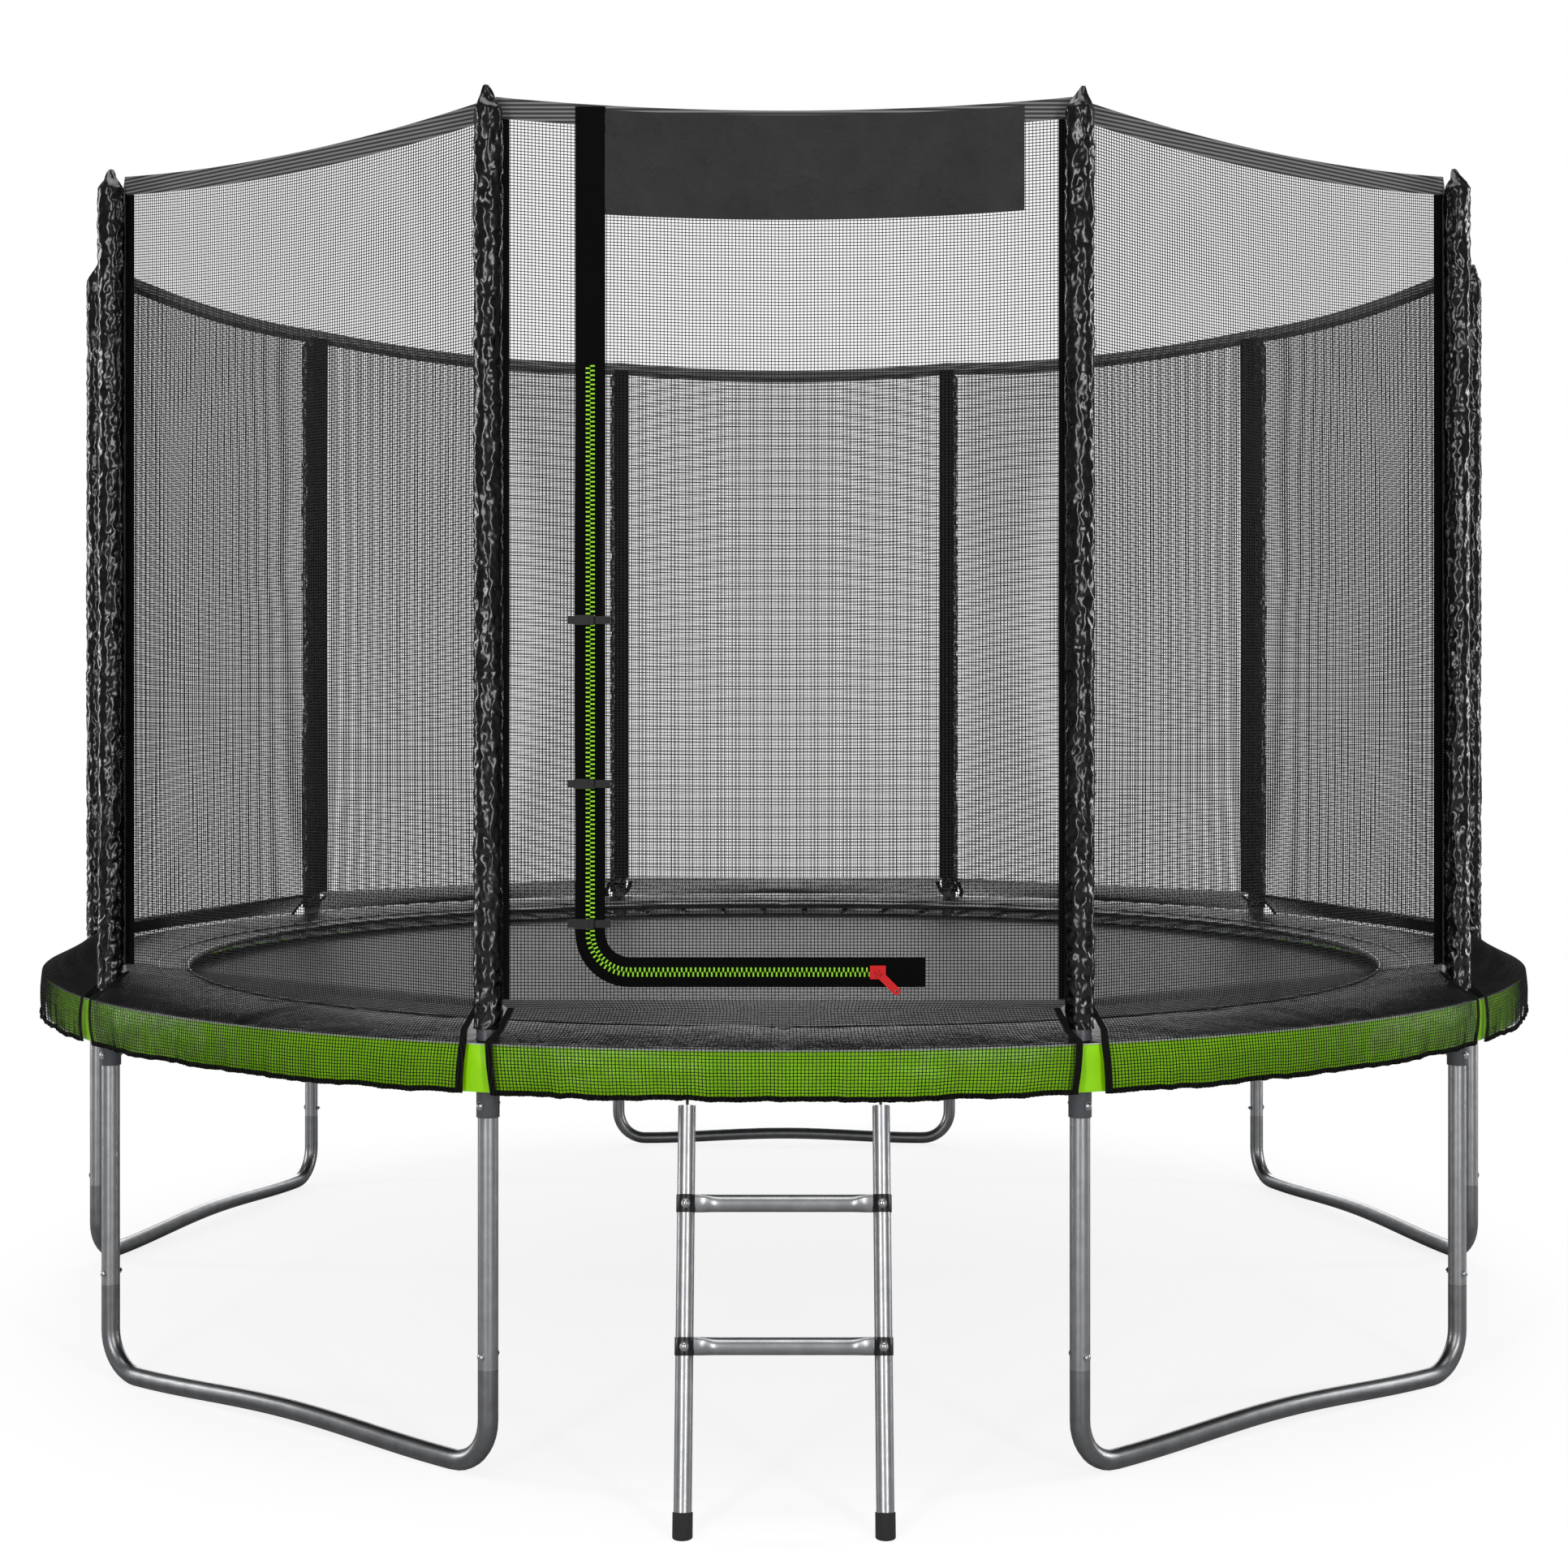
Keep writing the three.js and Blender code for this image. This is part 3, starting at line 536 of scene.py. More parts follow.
def domed_bolt(surface_gap):
    """A washer and a domed head at one end of X, a nut at the other."""
    bpy.ops.mesh.primitive_uv_sphere_add(
        segments=20, ring_count=10, radius=BOLT_HEAD, location=(0, 0, 0)
    )
    head = bpy.context.object
    head.scale = (0.62, 1, 1)
    head.location.x = surface_gap + 1.4 * MM
    washer = bar_along_x(24, BOLT_HEAD * 1.25, 1.6 * MM, surface_gap + 0.6 * MM)
    nut = bar_along_x(6, BOLT_HEAD, 5.5 * MM, -surface_gap - 2.4 * MM)
    shank = bar_along_x(16, 3 * MM, 2 * surface_gap + 14 * MM, -2 * MM)
    for piece in (head, washer, nut, shank):
        settle(piece)
    return smooth(joined([head, washer, nut, shank]), 35)


def turned_to(direction, place):
    """The matrix that carries +X to the direction at the place."""
    spin = Vector(direction).to_track_quat("X", "Z")
    return Matrix.Translation(place) @ spin.to_matrix().to_4x4()


zinc_plate = grained(
    "Bright_zinc_plate", "#C6C8CA", 0.24, (260.0, 3.0), (0.16, 0.34), metallic=1.0
)
socket_bolt = domed_bolt(SOCKET)
stub_bolt = domed_bolt(TUBE)
for k, pair in enumerate(LEG_PAIRS):
    a, b = (around(pole_angle(i), RING) for i in pair)
    across = (b - a).normalized().cross(Vector((0, 0, 1)))
    outward = across if across.dot(a + b) > 0 else -across
    bolts = []
    for foot in (a, b):
        for model, z in ((socket_bolt, SOCKET_BOLT_Z), (stub_bolt, STUB_BOLT_Z)):
            bolts.append(copy_of(model, turned_to(outward, foot + Vector((0, 0, z)))))
    bolts = joined(bolts)
    shown_as(bolts, f"leg_bolts_{k + 1}", zinc_plate)
    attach(bolts, "root")
bpy.data.objects.remove(socket_bolt)
bpy.data.objects.remove(stub_bolt)

# ---- Padded poles ----
# A steel pole in a foam tube, covered by a sewn sleeve of thin black PVC cloth.
# The sleeve is loose, so it crinkles, and it is drawn together over the top.

SLEEVE = 28.5 * MM
SLEEVE_LOW = SOCKET_HIGH + 1 * MM
SLEEVE_HIGH = pole_high.z
SLEEVE_RINGS = 460
SLEEVE_SIDES = 72
CRINKLE = 5.2 * MM
GATHER = 46 * MM  # length of the sleeve that is drawn together at the top


def crinkle(angle, z, seed):
    """Folds that run round and along the sleeve, in metres."""
    side = Vector((math.cos(angle), math.sin(angle), 0))
    wide = noise.noise(side * 1.3 + Vector((0, 0, z * 9 + seed)))
    ridge = 1 - 2 * abs(noise.noise(side * 0.9 + Vector((z * 9, 0, z * 34 + seed))))
    slant = 1 - 2 * abs(noise.noise(side * 1.8 + Vector((0, z * 20, z * 62 + seed))))
    return CRINKLE * (0.35 * wide + 0.45 * ridge + 0.35 * slant - 0.3)


def sleeved_pole():
    """The sleeve from its lower hem to its gathered top, round the origin."""
    height = SLEEVE_HIGH - SLEEVE_LOW
    points = []
    for k in range(SLEEVE_RINGS + 1):
        z = height * k / SLEEVE_RINGS
        closing = max(0.0, (z - (height - GATHER)) / GATHER)
        lean = 7 * MM * closing**2
        for n in range(SLEEVE_SIDES):
            angle = 2 * math.pi * n / SLEEVE_SIDES - math.pi
            pleat = 1 + 0.3 * closing * math.cos(4 * angle + 5 * closing)
            radius = SLEEVE - 2.2 * MM + crinkle(angle, z, 0)
            radius *= (1 - 0.86 * closing**0.9) * pleat
            points.append(
                (
                    radius * math.cos(angle) + lean,
                    radius * math.sin(angle),
                    SLEEVE_LOW + z - 2 * MM * closing,
                )
            )
    faces = [
        tuple(
            (k + up) * SLEEVE_SIDES + (n + on) % SLEEVE_SIDES
            for on, up in ((0, 0), (1, 0), (1, 1), (0, 1))
        )
        for k in range(SLEEVE_RINGS)
        for n in range(SLEEVE_SIDES)
    ]
    top = SLEEVE_RINGS * SLEEVE_SIDES
    faces.append(tuple(reversed(range(SLEEVE_SIDES))))
    faces.append(tuple(top + n for n in range(SLEEVE_SIDES)))
    return smooth(meshed("sleeve", points, faces), 60)


# Glossy where it is pulled smooth, finely creased elsewhere.
black_pvc = grained(
    "Black_PVC_coated_cloth", "#030304", 0.2, (26.0, 2.0, (1, 1, 1.4)),
    spread=(0.12, 0.34), bump=(0.006, 0.5), Specular_IOR_Level=0.6,
)
sleeve_model = sleeved_pole()
pole_model = bent_tube([(0, 0, pole_low.z), (0, 0, SLEEVE_LOW + 0.02)], TUBE)
pole_model.data.materials.append(zinc_steel)
sleeve_model.data.materials.append(black_pvc)
for i in range(BAYS):
    place = Matrix.Translation(around(pole_angle(i), RING))
    turn = Matrix.Rotation(pole_angle(i) + 1.9 * i, 4, "Z")
    sleeve = copy_of(sleeve_model, place @ turn)
    steel = copy_of(pole_model, place)
    shown_as(steel, f"pole_steel_{i + 1}", zinc_steel)
    shown_as(sleeve, f"pole_sleeve_{i + 1}", black_pvc)
    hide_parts(f"padded_pole_{i + 1}")
    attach(sleeve, "root")
    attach(steel, "root")
bpy.data.objects.remove(sleeve_model)
bpy.data.objects.remove(pole_model)

# ---- Jumping mat ----
# A disc of woven polypropylene, hemmed with a doubled band that is stitched in
# rows. Triangular wire rings are sewn into the band for the springs.

mat_low, mat_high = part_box("jump_mat")
MAT_RADIUS = mat_high.x
MAT_Z = (mat_low.z + mat_high.z) / 2
THREAD = 3.0 * MM  # real thread is 1 mm; drawn coarser so that the weave shows


def woven_polypropylene():
    """Flat black tape yarn in a plain weave: low sheen at a glance, dark face on."""
    material, surface = finish(
        "Woven_polypropylene_painted_sheen", "#1B1C1E", 0.0, 0.5, Specular_IOR_Level=0.55
    )
    place = place_of(material, (1 / THREAD, 1 / THREAD, 1))
    warp, weft = (
        add_node(
            material,
            "ShaderNodeTexWave",
            {"Vector": place, "Scale": 0.32},
            bands_direction=direction,
        )
        for direction in "XY"
    )
    weave = add_node(
        material,
        "ShaderNodeMath",
        {0: warp.outputs[1], 1: weft.outputs[1]},
        operation="MULTIPLY",
    )
    cloud = noise_in(material, 2.4, 3.0)
    # Painted sheen: both shades are lifted above the yarn's black to stand in for the
    # sheen that the back light puts across the mat; between them the tone varies at
    # random.
    shade_by(material, surface, cloud, "#1C1D1F", "#2A2B2D")
    emboss(material, surface, weave.outputs[0], 0.0004, 0.5)
    return material


def ring_of_rings(outline, steps):
    """A closed outline of radius and height turned once about the middle."""
    count = len(outline)
    points = []
    for k in range(steps):
        turn = 2 * math.pi * k / steps
        points += [around(turn, r, z) for r, z in outline]
    faces = []
    for k in range(steps):
        here, there = k * count, (k + 1) % steps * count
        for n in range(count):
            m = (n + 1) % count
            faces.append((here + n, there + n, there + m, here + m))
    return face_outward(meshed("ring", points, faces))


mat = settle(cylinder(160, MAT_RADIUS, 2.6 * MM, (0, 0, MAT_Z)))
bpy.ops.object.mode_set(mode="EDIT")
bpy.ops.mesh.select_all(action="DESELECT")
bpy.ops.object.mode_set(mode="OBJECT")
for face in mat.data.polygons:
    face.select = abs(face.normal.z) > 0.9
bpy.ops.object.mode_set(mode="EDIT")
bpy.ops.mesh.inset(thickness=50 * MM)
bpy.ops.mesh.inset(thickness=2 * MM)
bpy.ops.mesh.inset(thickness=500 * MM)
bpy.ops.object.mode_set(mode="OBJECT")
for vertex in mat.data.vertices:
    if math.hypot(vertex.co.x, vertex.co.y) > MAT_RADIUS - 51 * MM:
        vertex.co.z = MAT_Z + (vertex.co.z - MAT_Z) * 2.4
smooth(mat, 30)
black_weave = woven_polypropylene()
shown_as(mat, "jumping_mat", black_weave)
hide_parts("jump_mat")
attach(mat, "mat")

# ---- Springs ----
# Eighty close-wound extension springs of zinc-plated wire. One hook of each is in
# a slot of the rail and the other in a ring of the mat. The coils are drawn wider
# apart than real ones, so that each turn still shows.

SPRINGS = 80
WIRE = 1.7 * MM
COIL = 8.2 * MM
COIL_PITCH = 6.0 * MM
SPRING_OUT = RING - RAIL + 3 * MM
SPRING_IN = MAT_RADIUS + 3 * MM
HOOK = 20 * MM


def coil_spring():
    """One spring along +X, from its mat hook to its rail hook."""
    length = SPRING_OUT - SPRING_IN
    turns = int((length - 2 * HOOK) / COIL_PITCH)
    points = [(0, 0, -COIL), (1 * MM, 0, -COIL / 4), (6 * MM, 0, 0), (HOOK * 0.8, 0, 0)]
    steps = 8
    for k in range(turns * steps + 1):
        turn = 2 * math.pi * k / steps
        points.append(
            (
                HOOK + COIL_PITCH * k / steps,
                COIL * math.sin(turn),
                COIL * math.cos(turn),
            )
        )
    end = points[-1][0]
    points += [(end + 4 * MM, 0, 0), (length - 6 * MM, 0, 0)]
    points += [(length - 1 * MM, 0, -COIL / 4), (length, 0, -COIL)]
    return bent_tube(points, WIRE, sides=4)


spring_model = coil_spring()
for i in range(SPRINGS):
    angle = (i + 0.5) * 2 * math.pi / SPRINGS
    inner = around(angle, SPRING_IN, RAIL_Z)
    outer = around(angle, SPRING_OUT, RAIL_Z)
    spring = copy_of(spring_model, turned_to(outer - inner, inner))
    shown_as(spring, f"coil_spring_{i + 1:02d}", zinc_plate)
    if i == 0:
        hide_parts("spring_set")
    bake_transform(spring)
bpy.data.objects.remove(spring_model)

# ---- Frame pad ----
# A ring of foam in a welded vinyl cover, black on top, that lies on the springs
# and the rail. It is crowned, with a roll at its inner edge and seams between its
# sectors, and the sockets come up through holes in it.

pad_low, pad_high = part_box("frame_pad")
PAD_OUT = pad_high.x
PAD_IN = 1.517  # inner radius of the pad
PAD_BOTTOM = pad_low.z
PAD_TOP = pad_high.z
PAD_STEPS = 480
PAD_CROWN = 13 * MM
BAND_WIDTH = 73 * MM


def pad_outline():
    """Flat below; above, a sewn inner band, then a crowned roll down to the rim."""
    band = PAD_IN + BAND_WIDTH
    top = [(PAD_IN, PAD_BOTTOM + 4 * MM), (PAD_IN + 1 * MM, PAD_TOP - 6 * MM)]
    top += [(PAD_IN + 4 * MM, PAD_TOP - 3.5 * MM), (PAD_IN + 8 * MM, PAD_TOP - 5 * MM)]
    top += [(band - 4 * MM, PAD_TOP - 1 * MM), (band, PAD_TOP + 1.5 * MM)]
    for k in range(1, 15):
        share = k / 14
        crown = PAD_CROWN * math.sin(math.pi * share**0.75)
        drop = 6 * MM * share**6
        top.append((band + (PAD_OUT - band) * share, PAD_TOP + crown - drop))
    below = [(PAD_OUT, PAD_BOTTOM), (band, PAD_BOTTOM), (PAD_IN, PAD_BOTTOM)]
    return top + below


def wrinkle_pad(pad):
    """Seams between the sectors, gathers in the band, soft creases in the foam."""
    for vertex in pad.data.vertices:
        x, y, z = vertex.co
        if z < PAD_TOP - 7 * MM:
            continue
        angle = math.atan2(x, -y)
        radius = math.hypot(x, y)
        off = abs((angle / BAY + 0.5) % 1 - 0.5) * BAY * RING
        seam = 5 * MM * math.exp(-((off / (9 * MM)) ** 2))
        soft = noise.noise(Vector((x * 7, y * 7, 0))) * 3 * MM
        if radius < PAD_IN + BAND_WIDTH - 6 * MM:
            soft = noise.noise(Vector((angle * 60, radius * 8, 0))) * 2.4 * MM
        vertex.co.z = z + soft - seam


def cut_holes(piece, radius, low, high):
    """Cuts a round hole through the piece at every pole."""
    cutters = []
    for i in range(BAYS):
        at = around(pole_angle(i), RING, (low + high) / 2)
        cutters.append(settle(cylinder(28, radius, high - low, at)))
    cutter = joined(cutters)
    refine(piece, "BOOLEAN", object=cutter, operation="DIFFERENCE")
    bpy.data.objects.remove(cutter)


pad = ring_of_rings(pad_outline(), PAD_STEPS)
wrinkle_pad(pad)
cut_holes(pad, SOCKET + 1.2 * MM, PAD_BOTTOM - 0.05, PAD_TOP + 0.05)
smooth(pad, 50)
# Satin, with shallow creases from its folding.
vinyl = grained(
    "Black_vinyl_cover", "#050506", 0.3, (11.0, 7.0, (1, 1, 1), 0.62),
    spread=(0.2, 0.4), bump=(0.02, 0.5), Specular_IOR_Level=0.16,
)
shown_as(pad, "frame_pad_cover", vinyl)
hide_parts("frame_pad")
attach(pad, "root")


def piping(name, radius, z, thickness):
    """A sewn cord round the pad, pale grey as a painted highlight."""
    loop = [around(2 * math.pi * k / 240, radius, z) for k in range(241)]
    cord = bent_tube(loop, thickness, 8)
    shown_as(cord, name, piping_painted_highlight)
    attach(cord, "root")


# Painted highlight: the cords are pale grey to stand in for the bright lines that the
# pad's inner edge, the band's edge and the rim catch from the lights.
piping_painted_highlight = finish("Pale_piping_painted_highlight", "#C2C0C8", 0.0, 0.3)[0]
piping("pad_highlight_piping_inner", PAD_IN + 3 * MM, PAD_TOP - 2.6 * MM, 1.5 * MM)
piping("pad_highlight_piping_band", PAD_IN + BAND_WIDTH, PAD_TOP + 2.6 * MM, 1.3 * MM)
piping("pad_highlight_piping_rim", PAD_OUT - 0.5 * MM, PAD_TOP - 5 * MM, 1.6 * MM)

# ---- Pad skirt ----
# The pad's green edge: the same vinyl in lime, sewn to the cover's rim and hemmed
# at its foot, so it hangs over the rail. It bulges a little between the legs. The
# length over the ladder is a piece of its own, free at its ends.

SKIRT_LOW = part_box("pad_skirt")[0].z
SKIRT_HIGH = PAD_TOP - 6 * MM
SKIRT_ROWS = 12


def skirt_bulge(angle, share):
    """How far the skirt stands out, in metres; share runs from its rim to its foot."""
    ring = Vector((math.sin(angle), math.cos(angle), 0))
    wave = noise.noise(ring * 9 + Vector((0, 0, share * 1.2)))
    crumple = 1 - 2 * abs(noise.noise(ring * 30 + Vector((0, 0, share * 2.5))))
    puff = math.sin(math.pi * (0.12 + 0.88 * share))
    return (2.5 + 4 * wave + 2 * crumple) * puff * MM - 2 * MM * share


def ribbon(columns, thickness, offset=0, degrees=50):
    """A band through columns of points, each column from one edge to the other."""
    rows = len(columns[0])
    points = [p for column in columns for p in column]
    faces = [
        (k * rows + n, k * rows + n + 1, (k + 1) * rows + n + 1, (k + 1) * rows + n)
        for k in range(len(columns) - 1)
        for n in range(rows - 1)
    ]
    band = meshed("ribbon", points, faces)
    refine(band, "SOLIDIFY", thickness=thickness, offset=offset)
    return smooth(band, degrees)


def skirt_band(start, end):
    """A length of skirt between two angles, with its thickness."""
    steps = max(2, round((end - start) / math.radians(0.6)))
    columns = []
    for k in range(steps + 1):
        angle = start + (end - start) * k / steps
        column = []
        for n in range(SKIRT_ROWS + 1):
            share = n / SKIRT_ROWS
            z = SKIRT_HIGH + (SKIRT_LOW - SKIRT_HIGH) * share
            column.append(around(angle, PAD_OUT + skirt_bulge(angle, share), z))
        columns.append(column)
    return ribbon(columns, 1.4 * MM, -1, 60)


# Partly painted highlight: the lime shades follow the crease bump's noise, so raised
# folds are painted lighter as if they caught the light; the lime itself is the vinyl's
# own colour.
green_vinyl_painted_highlights = grained(
    "Lime_vinyl_painted_highlights", "#8AD20C", 0.3, (14.0, 6.0, (1, 1, 0.55)), spread=(0.2, 0.45),
    shades=("#92E400", "#B0FA08"), bump=(0.012, 0.5), Specular_IOR_Level=0.4,
)
front = skirt_band(-BAY / 2, BAY / 2)
shown_as(front, "pad_skirt_front", green_vinyl_painted_highlights)
rest = skirt_band(BAY / 2, 2 * math.pi - BAY / 2)
shown_as(rest, "pad_skirt_round", green_vinyl_painted_highlights)
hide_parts("pad_skirt")
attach(rest, "root")


def follow_ladder(piece):
    """Puts the piece's place into its mesh, and leaves it unattached."""
    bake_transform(piece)


follow_ladder(front)

# ---- Enclosure net ----
# Knotless polyethylene netting, ten flat panels sewn into a ring. Each hangs from
# a doubled hem, comes down inside the poles, then spreads over the pad and falls
# outside the skirt, where it is slit at every pole and edged with a gathered hem.

NET_PLANE = RING * math.cos(BAY / 2) - SLEEVE - 3.5 * MM
HALF_BAY = NET_PLANE * math.tan(BAY / 2)
HEM_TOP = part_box("net_left")[1].z + 17 * MM
HEM_SAG = 26 * MM
HEM_HEIGHT = 40 * MM
BACK_RISE = 17 * MM  # the hem is pulled higher on the poles at the back
FLARE_Z = 0.9  # where the net leaves its plane
RIM_Z = PAD_TOP + 3 * MM
RIM_OUT = PAD_OUT + 11 * MM
NET_FOOT = SKIRT_LOW - 2 * MM
SLIT = [(1, 0), (1.2, 31), (1.75, 31), (2, 19), (3, 29)]  # row, half-width in mm
STRAND = 1.35 * MM
STRAND_THICKNESS = 0.95 * MM
PITCH_ACROSS = 6.8 * MM
PITCH_DOWN = 6.1 * MM


def hem_line(u):
    """Height of the net's upper edge across a bay."""
    return HEM_TOP - HEM_SAG * (1 - (u / HALF_BAY) ** 2)


def slit(row):
    """Half the width of the slit at a pole."""
    for (row0, wide0), (row1, wide1) in zip(SLIT, SLIT[1:]):
        if row <= row1:
            return MM * (wide0 + (wide1 - wide0) * max(0, row - row0) / (row1 - row0))
    return MM * SLIT[-1][1]


def rim_point(u, row, out, z):
    """A point outside the rim for a place across the bay."""
    turn = u / HALF_BAY * (BAY / 2 - slit(row) / RIM_OUT)
    return around(turn, RIM_OUT + out, z)


def foot_wave(u):
    """The gathered foot swings in and out, and rises and falls."""
    swell = noise.noise(Vector((u * 5, 3.1, 0)))
    ruffle = noise.noise(Vector((u * 42, 7.7, 0)))
    return MM * (7 * swell + 4 * ruffle)


def hang(u, row):
    """A point of the net: across the bay by u, and down it by row.

    Rows 0 to 1 are in the panel's plane, 1 to 2 spread over the pad, and 2 to 3 fall
    outside the skirt.
    """
    if row <= 1:
        high = hem_line(u) - HEM_HEIGHT * 0.6
        billow = 7 * MM * math.sin(math.pi * row) * math.cos(math.pi * u / 2 / HALF_BAY)
        return Vector((u, -NET_PLANE - billow, high + (FLARE_Z - high) * row))
    if row <= 2:
        share = row - 1
        start = Vector((u, -NET_PLANE, FLARE_Z))
        end = rim_point(u, 2, 0, RIM_Z)
        narrow = (slit(row) - share * slit(2)) * u / HALF_BAY
        droop = 6 * MM * math.sin(math.pi * share) * (1 - abs(u) / HALF_BAY)
        return start.lerp(end, share) - Vector((narrow, 0, droop))
    share = row - 2
    puff = 4 * MM * math.sin(math.pi * share) + foot_wave(u) * share**2
    foot = NET_FOOT + 0.8 * foot_wave(u + 0.9)
    return rim_point(u, row, puff, RIM_Z + (foot - RIM_Z) * share)


def strand_faces(count):
    """Sides of a four-sided bar with the given number of sections, and its ends."""
    faces = []
    for k in range(count - 1):
        for n in range(4):
            m = (n + 1) % 4
            faces.append((4 * k + n, 4 * k + m, 4 * k + 4 + m, 4 * k + 4 + n))
    last = 4 * (count - 1)
    faces += [(3, 2, 1, 0), (last, last + 1, last + 2, last + 3)]
    return faces


def strand_points(line, across):
    """Four corners at each point of a line; across is a vector in the net's surface."""
    points = []
    for k, place in enumerate(line):
        ahead = line[min(k + 1, len(line) - 1)] - line[max(k - 1, 0)]
        out = ahead.cross(across).normalized() * STRAND_THICKNESS / 2
        side = across.normalized() * STRAND / 2
        points += [
            place - side - out,
            place + side - out,
            place + side + out,
            place - side + out,
        ]
    return points


DOWN_ROWS = [0, 0.25, 0.5, 0.75, 1, 1.1, 1.2, 1.5]
DOWN_ROWS += [1.75, 1.93, 2, 2.06, 2.4, 2.7, 2.85, 3]
ACROSS_HIGH = 6
ACROSS_LOW = 48


def net_bay():
    """The strands of the bay that faces -Y."""
    points, faces = [], []

    def add_strand(line, across):
        base = len(points)
        points.extend(strand_points(line, across))
        faces.extend([tuple(base + v for v in f) for f in strand_faces(len(line))])

    wide = 2 * HALF_BAY - STRAND
    count = round(wide / PITCH_ACROSS)
    for k in range(count + 1):
        u = -wide / 2 + wide * k / count
        add_strand([hang(u, row) for row in DOWN_ROWS], Vector((1, 0, 0)))
    for first, length, steps in (
        (0, HEM_TOP - FLARE_Z, ACROSS_HIGH),
        (1, 0.2, ACROSS_LOW),
        (2, RIM_Z - NET_FOOT, ACROSS_LOW),
    ):
        rows = round(length / PITCH_DOWN)
        for k in range(rows):
            row = first + (k + 0.5) / rows
            line = [
                hang(wide * (n / steps - 0.5), row) for n in range(steps + 1)
            ]
            add_strand(line, hang(0, min(3, row + 0.01)) - hang(0, row - 0.001))
    return face_outward(meshed("net_bay", points, faces))


def raise_back(piece):
    """Pulls what hangs at the back up, most at its top."""
    for vertex in piece.data.vertices:
        back = min(1, max(0, (vertex.co.y + 1) / 2))
        high = min(1, max(0, (vertex.co.z - 1.2) / 1.4))
        vertex.co.z += BACK_RISE * back * back * (3 - 2 * back) * high
    return piece


# Extruded netting: black and waxy.
black_net = grained(
    "Black_polyethylene_netting", "#0A0A0B", 0.55, (700.0, 2.0), spread=(0.42, 0.62),
    Specular_IOR_Level=0.2,
)
bay_model = net_bay()
NETS = {
    "net_front_panel": [0],
    "net_right": [1, 2, 3],
    "net_back": [4, 5, 6],
    "net_left": [7, 8, 9],
}
for node, bays in NETS.items():
    panels = [copy_of(bay_model, Matrix.Rotation(BAY * i, 4, "Z")) for i in bays]
    panel = raise_back(joined(panels))
    shown_as(panel, node.replace("net_", "netting_"), black_net)
    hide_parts(node)
    if node == "net_front_panel":
        follow_ladder(panel)
    else:
        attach(panel, "root")
bpy.data.objects.remove(bay_model)

# ---- Net hems ----
# A doubled band of woven polyester tape, sewn in rows, closes the net's upper
# edge. Narrower elastic tape gathers its foot and edges the slits at the poles.


def ribbed_tape(name, dark, light, rib, turns=(0, 0, 1)):
    """Woven tape: black, matt, with ribs a rib apart."""
    material, surface = finish(name, dark, 0.0, 0.8, Specular_IOR_Level=0.06)
    ribs = add_node(
        material,
        "ShaderNodeTexWave",
        {"Vector": place_of(material, turns), "Scale": 0.628 / rib},
        bands_direction="DIAGONAL",
    )
    shade_by(material, surface, ribs.outputs[1], dark, light)
    emboss(material, surface, ribs.outputs[1], 0.0006, 0.6)
    return material


def hem_column(u):
    """The upper hem folds over the net's edge, so it stands just outside it."""
    top = hem_line(u)
    return [
        Vector((u, -NET_PLANE - 1.6 * MM, top - HEM_HEIGHT * n / 3)) for n in range(4)
    ]


def foot_column(u):
    """The elastic puckers the netting's edge."""
    pucker = 2.2 * MM * math.sin(u * 700)
    points = [hang(u, row) for row in (2.9, 2.95, 3.0)]
    return [
        p + Vector((p.x, p.y, 0)).normalized() * (1.8 * MM + pucker * (n != 0))
        for n, p in enumerate(points)
    ]


def edge_column(row, side, width):
    """Points across the tape at one side of a bay."""
    edge = HALF_BAY * side
    return [hang(edge - side * width * n / 2, row) for n in range(3)]


def slit_column(row, side):
    """Across the tape that edges one side of a slit."""
    points = edge_column(row, side, 13 * MM)
    return [p + Vector((p.x, p.y, 0)).normalized() * 1.8 * MM for p in points]


def corner_column(row, side):
    """Across the tape where a panel is sewn to the next one, inside a pole."""
    return [p + Vector((0, 2 * MM, 0)) for p in edge_column(row, side, 26 * MM)]


hem_tape = ribbed_tape("Black_polyester_hem_tape", "#2C2C2C", "#8A8A8A", 8 * MM)
elastic = ribbed_tape("Black_gathered_elastic", "#060606", "#1D1F1A", 5 * MM, (1, 1, 0))
steps = [HALF_BAY * (k / 12 - 1) for k in range(25)]
hem_model = ribbon([hem_column(u) for u in steps], 1.6 * MM)
steps = [HALF_BAY * (k / 190 - 1) for k in range(381)]
foot_model = ribbon([foot_column(u) for u in steps], 1.5 * MM)
edges = [
    ribbon([slit_column(1.2 + 1.8 * k / 30, side) for k in range(31)], 1.4 * MM)
    for side in (-1, 1)
]
edges += [
    ribbon([corner_column(k / 8, side) for k in range(9)], 1.2 * MM)
    for side in (-1, 1)
]
foot_model = joined([foot_model, *edges])
for i in range(BAYS):
    turn = Matrix.Rotation(BAY * i, 4, "Z")
    hem = raise_back(copy_of(hem_model, turn))
    foot = raise_back(copy_of(foot_model, turn))
    shown_as(hem, f"net_upper_hem_{i + 1}", hem_tape)
    shown_as(foot, f"net_foot_hem_{i + 1}", elastic)
    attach(hem, "root")
    if i == 0:
        follow_ladder(foot)
    else:
        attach(foot, "root")
bpy.data.objects.remove(hem_model)
bpy.data.objects.remove(foot_model)

# ---- Door zip ----
# A wide black tape runs from the upper hem down the door's left side and round to
# its foot. The chain of lime nylon teeth starts below the banner and ends at the
# slider.

zip_low, zip_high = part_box("door_zip")
slider_low, slider_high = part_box("zip_slider")
SLIDER = (slider_low + slider_high) / 2
TAPE = 57 * MM
ZIP_X = zip_low.x + TAPE / 2
ZIP_Z = zip_low.z + TAPE / 2
ZIP_END = zip_high.x
ZIP_BEND = 75 * MM
TEETH_TOP = 2.105  # below the banner
TAPE_FRONT = -zip_low.y - 2 * MM
TOOTH_PITCH = 8.8 * MM


